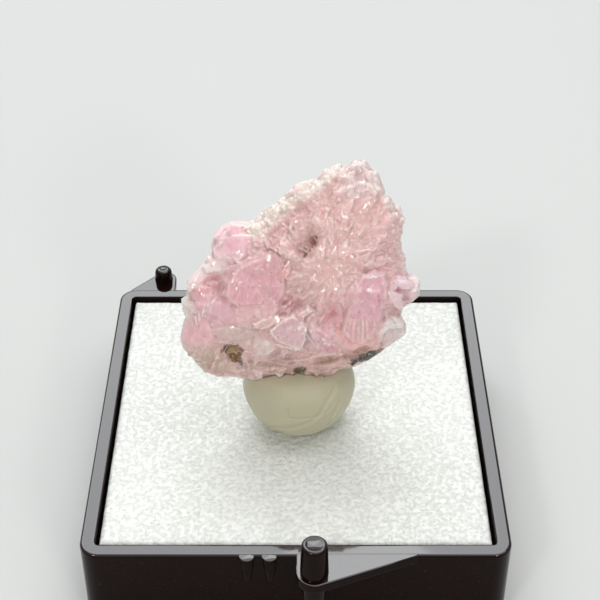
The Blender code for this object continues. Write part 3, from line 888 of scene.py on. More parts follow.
@dataclass
class Matrix:
    """The lump that the crystals stand on, as heights over a plane through its rim."""

    front_depth: float = 4.4
    back_depth: float = 4.0
    rim_inset: float = 0.3
    top_taper: float = 0.032
    foot_start: float = -6.0
    foot_height: float = 4.0
    smoothing: int = 45

    def __post_init__(self) -> None:
        """Sort the rim by angle, and measure the line from the middle of the face round to the back."""
        angles = np.arctan2(RIM[:, 1], RIM[:, 0])
        order = np.argsort(angles)
        self.angles, self.radii = angles[order], np.hypot(RIM[:, 0], RIM[:, 1])[order]
        self.measure_meridian()

    def rim_radius(self, angle: Array) -> Array:
        """Distance from the middle to the rim."""
        return np.interp(angle, self.angles, self.radii, period=math.tau)

    def share(self, u: Array, v: Array) -> Array:
        """How far out a place is, from 0 in the middle to 1 at the rim."""
        return np.clip(np.hypot(u, v) / self.rim_radius(np.arctan2(v, u)), 0.0, 1.0)

    def face_height(self, u: Array, v: Array) -> Array:
        """Height of the face: depth (1 - share^3)^0.6, tapered upwards, less hollows, cut by the foot.

        Args:
            u: Places across the face.
            v: Places up the face.

        Returns:
            Heights over the plane of the rim.
        """
        height = self.front_depth * (1.0 - self.share(u, v) ** 3) ** 0.6
        height = self.dipped(height * (1.0 - self.top_taper * np.maximum(v, 0.0)), u, v)
        foot = np.maximum(self.foot_height + (v - self.foot_start), 0.0)
        return np.maximum(np.minimum(height, foot), 0.0)

    @staticmethod
    def dipped(height: Array, u: Array, v: Array, share: Array | float = 1.0) -> Array:
        """Heights less a share of the hollows, each of depth exp(-distance^2 / radius^2).

        Args:
            height: Heights of the bare face.
            u: Places across the face.
            v: Places up the face.
            share: How much of each hollow.

        Returns:
            The lowered heights.
        """
        for at_u, at_v, radius, depth in HOLLOWS:
            height = height - share * depth * np.exp(-((u - at_u) ** 2 + (v - at_v) ** 2) / radius**2)
        return height

    def face_slope(self, u: float, v: float, heading: float) -> float:
        """How steeply the face climbs along a heading, from its rise over half a millimetre.

        Args:
            u: Place across the face.
            v: Place up the face.
            heading: The heading.

        Returns:
            The slope in degrees.
        """
        step = 0.5
        ahead = self.face_height(u + step * math.cos(math.radians(heading)),
                                 v + step * math.sin(math.radians(heading)))
        return math.degrees(math.atan2(float(ahead - self.face_height(u, v)), step))

    def back_height(self, u: Array, v: Array) -> Array:
        """Depth of the back: depth (1 - share^2.4)^0.7, tapered upwards."""
        height = self.back_depth * (1.0 - self.share(u, v) ** 2.4) ** 0.7
        return height * (1.0 - self.top_taper * np.maximum(v, 0.0))

    @staticmethod
    def glass(u: Array, v: Array) -> Array:
        """How glassy and smooth each place of the face is, from 0 to 1.

        Args:
            u: Places across the face.
            v: Places up the face.

        Returns:
            Shares from 0 to 1.
        """
        total = np.zeros(len(u))
        for at_u, at_v, wide, high in GLASS:
            out = np.hypot((u - at_u) / wide, (v - at_v) / high)
            total = np.maximum(total, 1.0 - blend_step(0.75, 1.1, out))
        return total

    def measure_meridian(self) -> None:
        """Tabulate a typical section by its length: how far out, how far round to the back, and its tilt.

        The section runs out over the face, straight down the rim and in under the back. Its tilt is that
        of the outward normal, smoothed over about two millimetres so that outward lines never cross.
        """
        reach, inner = 10.0, 0.935
        out = np.sin(np.linspace(0.0, math.pi / 2, 300))
        top = self.front_depth * (1.0 - (inner * out) ** 3) ** 0.6
        under = -self.back_depth * (1.0 - (inner * out[::-1]) ** 2.4) ** 0.7
        wall = np.linspace(top[-1], under[0], 80)[1:-1]
        radius = np.concatenate([reach * out, np.full(78, reach), reach * out[::-1]])
        height = np.concatenate([top, wall, under])
        self.turned = np.concatenate([np.zeros(300), np.linspace(0, 1, 80)[1:-1], np.ones(300)])
        length = np.concatenate([[0.0], np.cumsum(np.hypot(np.diff(radius), np.diff(height)))])
        even = np.linspace(0.0, length[-1], 800)
        radius, height = np.interp(even, length, radius), np.interp(even, length, height)
        self.turned = np.interp(even, length, self.turned)
        across, up = -np.gradient(height), np.gradient(radius)
        size = np.hypot(across, up)
        kernel = np.hanning(2 * self.smoothing + 1)
        kernel = kernel / kernel.sum()
        padded = [np.pad(side / size, self.smoothing, mode="reflect", reflect_type=way)
                  for side, way in ((across, "odd"), (up, "even"))]
        across, up = (np.convolve(side, kernel, mode="valid") for side in padded)
        self.even, self.out, self.tilt = even, radius / reach, np.arctan2(across, up)
        self.tilt[0], self.tilt[-1] = 0.0, math.pi
        self.equator = float(np.interp(0.9, self.turned, even))

    def surface(self, angle: Array, length: Array) -> tuple[Array, Array]:
        """Points of the lump and their outward directions.

        Args:
            angle: Angle about the middle of each sample.
            length: Its distance along the section, from the middle of the face.

        Returns:
            Points and unit directions, one row each.
        """
        out = np.interp(length, self.even, self.out)
        turned = np.interp(length, self.even, self.turned)
        tilt = np.interp(length, self.even, self.tilt)
        reach = self.rim_radius(angle) - self.rim_inset
        inner = 1.0 - (self.rim_inset + 0.05) / reach
        u, v = out * reach * np.cos(angle), out * reach * np.sin(angle)
        w = (1.0 - turned) * self.face_height(u * inner, v * inner) \
            - turned * self.back_height(u * inner, v * inner)
        ways = np.stack([np.sin(tilt) * np.cos(angle), np.sin(tilt) * np.sin(angle), np.cos(tilt)], axis=1)
        return np.stack([u, v, w], axis=1), ways


def disc_samples(cells: int) -> tuple[Array, Array]:
    """Angle and distance out, 0 to 1, of a square grid wrapped on a disc.

    Each square ring of the grid becomes a circle: the distance out is the larger of the two grid
    coordinates, and the angle turns evenly along each side.

    Args:
        cells: Cells along each side of the grid.

    Returns:
        The angles and the distances.
    """
    side = np.linspace(-1.0, 1.0, cells + 1)
    a, b = np.meshgrid(side, side, indexing="ij")
    a, b = a.ravel(), b.ravel()
    wide = np.abs(a) >= np.abs(b)
    big = np.where(wide, a, b)
    small = np.where(wide, b, a)
    safe = np.where(big == 0.0, 1.0, big)
    turn = math.pi / 4 * small / safe
    angle = np.where(wide, turn, math.pi / 2 - turn) + np.where(big < 0.0, math.pi, 0.0)
    return angle, np.abs(big)


def edge_loop(cells: int) -> Array:
    """Numbers of the points round the edge of a square grid, in order from its first corner.

    Args:
        cells: Cells along each side of the grid.

    Returns:
        The point numbers.
    """
    side = cells + 1
    run = np.arange(cells)
    return np.concatenate([run * side, cells * side + run, cells * side + cells - run * side,
                           cells - run])


def box_blur(values: Array, cells: int, radius: int, times: int = 1) -> Array:
    """Average of a square grid of values over a moving square, by running sums along each side.

    Args:
        values: The values, row by row.
        cells: Cells along each side of the grid.
        radius: How many samples the square reaches to each side.
        times: How often the average is taken.

    Returns:
        The averages, in the same order.
    """
    square = values.reshape(cells + 1, cells + 1)
    span = 2 * radius + 1
    for axis in (0, 1) * times:
        width = [(radius + 1, radius) if axis == 0 else (0, 0), (radius + 1, radius) if axis else (0, 0)]
        total = np.cumsum(np.pad(square, width, mode="edge"), axis=axis)
        square = (np.take(total, range(span, total.shape[axis]), axis=axis)
                  - np.take(total, range(total.shape[axis] - span), axis=axis)) / span
    return square.ravel()


@dataclass(frozen=True)
class Tag:
    """What a crystal brings to the samples that it wins. One that sits may grow on smooth crystals."""

    colour: Triple | None
    frost: float
    smooth: bool
    place: Pair
    shade: float
    edge: float = 0.35
    sits: bool = False
    crisp: bool = False


@dataclass
class Growth:
    """Samples of a surface with the crystals grown on it so far."""

    points: Array
    ways: Array
    height: Array = field(init=False)
    owner: Array = field(init=False)
    crest: Array = field(init=False)
    local: Array = field(init=False)
    smooth: Array = field(init=False)
    crystals: list = field(init=False, default_factory=list)

    def __post_init__(self) -> None:
        """Start from the bare lump: the flat breaks across its back are the only change."""
        self.height = np.zeros(len(self.points))
        for place, facing in BREAKS:
            normal = np.array(facing) / np.linalg.norm(facing)
            room = (np.array(place) - self.points) @ normal
            speed = self.ways @ normal
            cut = (room < 0.0) & (speed > 0.15)
            self.height[cut] = np.minimum(self.height[cut], room[cut] / speed[cut])
        self.owner = np.full(len(self.points), -1)
        self.crest = np.full(len(self.points), 9.0)
        self.local = self.points.copy()
        self.smooth = np.zeros(len(self.points), bool)

    def grow(self, centre: Array, axes: Array, half: Array, faces: Array, tag: Tag, soft: float = 0.0,
             reach: float = 0.0, firm: float = 0.0) -> None:
        """Raise the surface to the far side of one crystal.

        Each sample looks out along its own direction. Where that line passes through the crystal, the
        surface goes to where it leaves, which is the nearest of the faces that it leaves by.

        Args:
            centre: Middle of the crystal.
            axes: Its axes, one a row.
            half: Half of its width, thickness and length.
            faces: Its faces, for a crystal of half size one.
            tag: What it brings to the samples that it wins.
            soft: How far its edges are rounded: the nearest face becomes a soft minimum of them all.
            reach: How far it reaches from its middle, where half doesn't say so.
            firm: How far it also pushes down what stands over its top, which is its last face but one.
                Without it, the crystal leaves the smooth ones clear.
        """
        number = len(self.crystals)
        self.crystals.append(tag)
        offset = centre - self.points
        ahead = np.einsum("ij,ij->i", offset, self.ways)
        aside = np.einsum("ij,ij->i", offset, offset) - ahead * ahead
        reach = reach or float(np.linalg.norm(half)) * 1.25
        near = np.flatnonzero((aside < reach * reach) & (ahead > -reach) & (ahead < reach + 6.0))
        if not len(near):
            return
        origin = -offset[near] @ axes.T / half
        way = self.ways[near] @ axes.T / half
        room = faces[:, 3] - origin @ faces[:, :3].T
        speed = way @ faces[:, :3].T
        speed = np.where(np.abs(speed) < 1e-9, 1e-9, speed)
        time = room / speed
        leave = np.where(speed > 0.0, time, np.inf)
        enter = np.where(speed < 0.0, time, -np.inf).max(axis=1)
        out = leave.min(axis=1)
        if soft:
            out = out - soft * np.log(np.exp((out[:, None] - leave) / soft).sum(axis=1))
        allowed = np.where(leave.argmin(axis=1) == len(faces) - 2, firm, 0.0)
        hit = (enter < out) & (out > self.height[near] - allowed)
        if not firm and not tag.sits:
            hit &= ~self.smooth[near]
        chosen = near[hit]
        if not len(chosen):
            return
        spot = origin[hit] + way[hit] * out[hit, None]
        slack = (faces[:, 3] - spot @ faces[:, :3].T) / np.linalg.norm(faces[:, :3] / half, axis=1)
        slack[np.arange(len(chosen)), leave[hit].argmin(axis=1)] = np.inf
        self.height[chosen] = out[hit]
        self.owner[chosen] = number
        self.crest[chosen] = slack.min(axis=1)
        self.local[chosen] = spot * half
        self.smooth[chosen] = tag.smooth

    def add(self, crystal: Crystal, tag: Tag, soft: float) -> None:
        """Grow one crystal of a form, with its edges rounded by soft."""
        self.grow(np.array(crystal.place), crystal.axes(), np.array(crystal.size) / 2,
                  crystal.form.faces(), tag, soft)

    def brought(self, name: str, bare: object) -> Array:
        """One of the values of the tag that won each sample, and the bare one where no crystal did."""
        return np.array([getattr(tag, name) for tag in self.crystals] + [bare])[self.owner]

    def skin(self) -> Array:
        """The raised points."""
        return self.points + self.ways * self.height[:, None]


@dataclass(frozen=True)
class Sprinkle:
    """A field of small crystals: how many, how far apart, where, how big and how they stand.

    Width is across; flat is thickness over width, stretch is length over width. Lift is how far each
    rises out of the surface, stray how far its heading strays from straight out of the spray's root,
    roll how far it turns about its length, and shade how much lighter or darker than others it is.
    """

    name: str
    count: int
    gap: float
    where: Callable[[Growth], Array]
    width: Pair
    flat: float
    stretch: Pair
    forms: tuple[Form, ...]
    lift: Pair
    sink: float
    stray: float
    frost: float = 0.0
    smooth: bool = False
    edge: float = 0.35
    soft: float = 0.025
    sits: bool = False
    roll: float = 180.0
    shade: float = 1.0

    def seeds(self, growth: Growth, skin: Array, rng: np.random.Generator) -> Array:
        """Numbers of the samples where crystals start, no two nearer than the gap.

        Args:
            growth: The surface so far.
            skin: Its raised points.
            rng: Source of chance.

        Returns:
            Sample numbers.
        """
        open_samples = np.flatnonzero(self.where(growth))
        if not len(open_samples):
            return open_samples
        tries = rng.choice(open_samples, min(len(open_samples), self.count * 5), replace=False)
        kept: list[int] = []
        taken = np.empty((self.count, 3))
        for sample in tries:
            if len(kept) == self.count:
                break
            spot = skin[sample]
            if kept and (((taken[:len(kept)] - spot) ** 2).sum(axis=1).min() < self.gap**2):
                continue
            taken[len(kept)] = spot
            kept.append(int(sample))
        return np.array(kept, int)

    def scatter(self, growth: Growth, rng: np.random.Generator) -> None:
        """Grow the field's crystals on the surface.

        Args:
            growth: The surface so far.
            rng: Source of chance.
        """
        skin = growth.skin()
        root = np.array((*SPRAY_ROOT, 2.0))
        seeds = self.seeds(growth, skin, rng)
        LOG.info("%s: %d crystals", self.name, len(seeds))
        for sample in seeds:
            way = growth.ways[sample]
            away = skin[sample] - root + rng.normal(0.0, 0.2, 3)
            level = away - way * (away @ way)
            level /= np.linalg.norm(level) + 1e-9
            side = np.cross(way, level)
            stray = math.radians(rng.uniform(-self.stray, self.stray))
            level = level * math.cos(stray) + side * math.sin(stray)
            side = np.cross(way, level)
            lift = math.radians(rng.uniform(*self.lift))
            along = level * math.cos(lift) + way * math.sin(lift)
            spin = math.radians(rng.uniform(-self.roll, self.roll))
            axes = spun(side, np.cross(along, side), along, spin)
            width = rng.uniform(*self.width)
            length = width * rng.uniform(*self.stretch)
            half = np.array((width, width * self.flat, length)) / 2
            centre = skin[sample] + along * length * 0.22 - way * self.sink
            form = self.forms[int(rng.integers(len(self.forms)))]
            growth.grow(centre, axes, half, form.faces(), Tag(
                None, self.frost, self.smooth, (float(centre[0]), float(centre[1])),
                float(rng.normal(0.0, self.shade)), self.edge * float(rng.uniform()) ** 0.7, self.sits),
                self.soft)


class Colours:
    """Where each tint of the calcite lies on the face."""

    ground = paint(224, 182, 180)
    back = paint(218, 196, 184)
    # The pale tint laid near the rim is painted rim light.
    painted_rim_light = paint(252, 240, 236)
    crust = paint(240, 229, 219)
    patches = (
        Patch("upper_spray", (4.6, 5.6), (4.6, 4.4), 60, paint(241, 196, 194), 0.8),
        Patch("upper_left", (-1.6, 5.4), (3.2, 1.8), 35, paint(232, 182, 182), 0.8),
        Patch("top_cluster", (5.9, 10.3), (2.3, 1.7), 20, paint(227, 202, 202)),
        Patch("right_step", (9.0, 6.8), (1.2, 1.6), 0, paint(225, 188, 187)),
        Patch("right_side", (8.3, 3.6), (2.4, 2.4), 0, paint(234, 188, 190), 0.8),
        Patch("spray_root", (2.7, 1.9), (1.5, 1.2), 0, paint(238, 194, 189), 0.9),
        Patch("shoulder", (-6.3, 4.3), (2.5, 2.4), 0, paint(245, 202, 210)),
        Patch("shoulder_side", (-3.7, 3.6), (1.3, 1.6), 0, paint(227, 181, 183), 0.8),
        # The pale left ridge is the lit top face of the left blade, the band below it its shaded front face:
        # painted light and painted shade.
        Patch("left_ridge", (-8.6, 1.9), (2.6, 0.9), 35, paint(253, 225, 225)),
        Patch("ridge_shaded_face", (-8.3, 0.5), (2.2, 0.6), 32, paint(234, 173, 180)),
        Patch("inner_plate", (-6.3, -0.3), (1.5, 1.6), 0, paint(221, 168, 175), 0.9),
        Patch("left_plate", (-3.4, 0.8), (2.1, 2.5), 0, paint(223, 171, 179)),
        Patch("low_plate", (-4.4, -2.0), (2.3, 1.1), 10, paint(235, 192, 194)),
        Patch("streaks", (-8.3, -1.7), (2.2, 1.5), -20, paint(234, 188, 198), 0.9),
        Patch("left_edge", (-10.9, -2.4), (0.9, 1.2), 0, paint(255, 237, 230)),
        Patch("low_left_dome", (-9.9, -4.3), (1.7, 1.9), 0, paint(238, 190, 196)),
        Patch("low_left", (-8.7, -7.2), (2.8, 1.8), -10, paint(213, 184, 171)),
        Patch("waxy_row", (-5.9, -4.0), (2.5, 0.9), -6, paint(215, 188, 182)),
        Patch("waxy_lump", (-3.5, -5.4), (1.1, 1.1), 0, paint(226, 205, 199)),
        Patch("middle_red", (-0.7, -1.3), (1.5, 1.3), 0, paint(238, 182, 186)),
        Patch("middle_left_red", (-1.7, 1.6), (0.9, 1.7), 10, paint(227, 164, 163), 0.8),
        Patch("lower_red", (3.2, -2.4), (1.1, 1.1), 0, paint(252, 182, 192)),
        Patch("hanging", (3.0, -0.9), (1.4, 1.1), 0, paint(246, 189, 194), 0.8),
        Patch("glints", (2.3, -4.5), (1.5, 1.3), -60, paint(228, 177, 188)),
        Patch("column", (6.6, -0.6), (1.8, 2.7), 0, paint(227, 179, 189)),
        Patch("column_foot", (5.7, -4.2), (2.0, 1.6), 0, paint(253, 195, 193)),
        Patch("lobe", (10.2, -0.1), (1.9, 1.7), 0, paint(255, 215, 224)),
        Patch("low_right_lobe", (9.3, -4.4), (1.6, 1.5), 0, paint(255, 238, 238)),
        Patch("foot_band", (1.0, -7.3), (8.2, 1.3), 4, paint(226, 186, 180)),
        Patch("shard", (-0.4, -4.1), (1.9, 1.3), 0, paint(218, 183, 188)),
    )

    # Small marks, placed where they lie once slid along the line of sight to the plane of the rim.
    marks = (
        Patch("brown_band", (-3.4, -8.2), (2.3, 0.35), -8, paint(182, 150, 138), 0.55),
        Patch("dim_hollow", (-1.7, -7.6), (1.4, 0.75), -8, paint(188, 146, 146), 0.6),
        Patch("brown_right", (2.5, -7.7), (1.3, 0.4), 10, paint(176, 138, 116), 0.6),
        Patch("shard_border", (-1.2, -6.45), (1.5, 0.12), -12, paint(255, 236, 234), 0.8),
        Patch("foot_border", (-2.3, -9.3), (3.0, 0.16), -9, paint(250, 236, 228), 0.7),
        Patch("grey_spot", (-1.53, 6.96), (0.6, 0.4), 30, paint(179, 160, 146), 0.6),
        Patch("brown_shade", (-6.42, -6.77), (0.98, 0.66), -6, paint(104, 62, 14)),
        Patch("brown_heart", (-6.37, -6.89), (0.66, 0.46), 0, paint(176, 136, 62)),
        Patch("brown_low", (-6.27, -7.63), (0.6, 0.42), 0, paint(136, 94, 20)),
        Patch("brown_drip", (-5.73, -7.94), (0.2, 0.45), 15, paint(79, 56, 27), 0.9),
        Patch("brown_chip", (-7.60, -6.87), (0.12, 0.26), 0, paint(108, 76, 58), 0.9),
        Patch("dark_diamond", (0.00, -8.82), (0.66, 0.36), 10, paint(84, 68, 50), 0.9),
        # The cavity's dark marks and the lines beside it are painted shade in the recess; the tan smudge is
        # the stone's own colour.
        Patch("cavity_main", (1.32, 3.93), (0.4, 0.55), 0, paint(172, 106, 90)),
        Patch("cavity_spot", (0.94, 3.19), (0.14, 0.24), 20, paint(124, 62, 46)),
        Patch("cavity_dashes", (0.53, 2.64), (0.34, 0.16), 40, paint(134, 72, 56)),
        Patch("cavity_side", (2.52, 2.39), (0.28, 0.18), -30, paint(176, 134, 126)),
        Patch("tan_smudge", (4.68, 4.97), (0.6, 0.3), 0, paint(206, 172, 152), 0.6),
        Patch("shadow_lines", (6.19, 1.20), (0.28, 0.46), 0, paint(186, 134, 126), 0.7),
        # A painted highlight: the white arc along the column's top.
        Patch("column_highlight_arc", (6.89, 0.48), (0.62, 0.1), 4, paint(255, 244, 238)),
        # Painted highlights: white lines along the ledges of the top and the side of the step.
        Patch("ledge_highlight_left", (6.16, 9.66), (0.75, 0.16), -14, paint(255, 250, 246)),
        Patch("ledge_highlight_right", (7.32, 9.27), (0.42, 0.17), -50, paint(255, 250, 246)),
        Patch("ledge_highlight_side", (8.83, 7.37), (0.12, 0.9), 12, paint(250, 238, 232), 0.8),
        Patch("white_patch", (8.45, 8.17), (0.7, 0.8), 30, paint(228, 213, 208)),
        Patch("foot_shade", (6.06, -6.73), (0.95, 0.38), 14, paint(172, 126, 110), 0.8),
        Patch("speck_bed", (6.16, -7.52), (1.6, 0.33), 20, paint(78, 72, 60)),
        Patch("speck_end", (5.09, -8.02), (0.33, 0.3), 0, paint(8, 8, 5)),
        Patch("speck_bar", (5.45, -7.80), (0.6, 0.24), 10, paint(14, 12, 9)),
        Patch("speck_top", (6.81, -7.17), (0.62, 0.27), 24, paint(12, 8, 6)),
        Patch("speck_low", (6.52, -7.65), (0.36, 0.2), 14, paint(22, 17, 14)),
        Patch("orange_chip", (7.80, -6.89), (0.42, 0.3), 20, paint(147, 108, 66)),
        Patch("orange_dot", (8.04, -6.73), (0.13, 0.13), 0, paint(21, 14, 8)),
    )

    @classmethod
    def of_face(cls, u: Array, v: Array) -> Array:
        """The tint of the face: the patches laid one over another on the ground tint.

        Args:
            u: Places across the face.
            v: Places up the face.

        Returns:
            Colours, one row each.
        """
        colour = np.tile(np.array(cls.ground), (len(u), 1))
        for patch in cls.patches:
            LOG.debug("tint: %s", patch.name)
            colour = laid_over(colour, patch.colour, patch.share(u, v)[:, None])
        return colour


def in_crust(points: Array, matrix: Matrix) -> Array:
    """How far inside the pale crust each place is: the strip along the upper left rim.

    Args:
        points: Places, one row each.
        matrix: The lump, for its rim.

    Returns:
        Shares from 0 to 1.
    """
    angle = np.degrees(np.arctan2(points[:, 1], points[:, 0]))
    to_rim = matrix.rim_radius(np.radians(angle)) - np.hypot(points[:, 0], points[:, 1])
    along = blend_step(66.0, 76.0, angle) * (1.0 - blend_step(128.0, 136.0, angle))
    return along * (1.0 - blend_step(1.0, 2.1, to_rim))


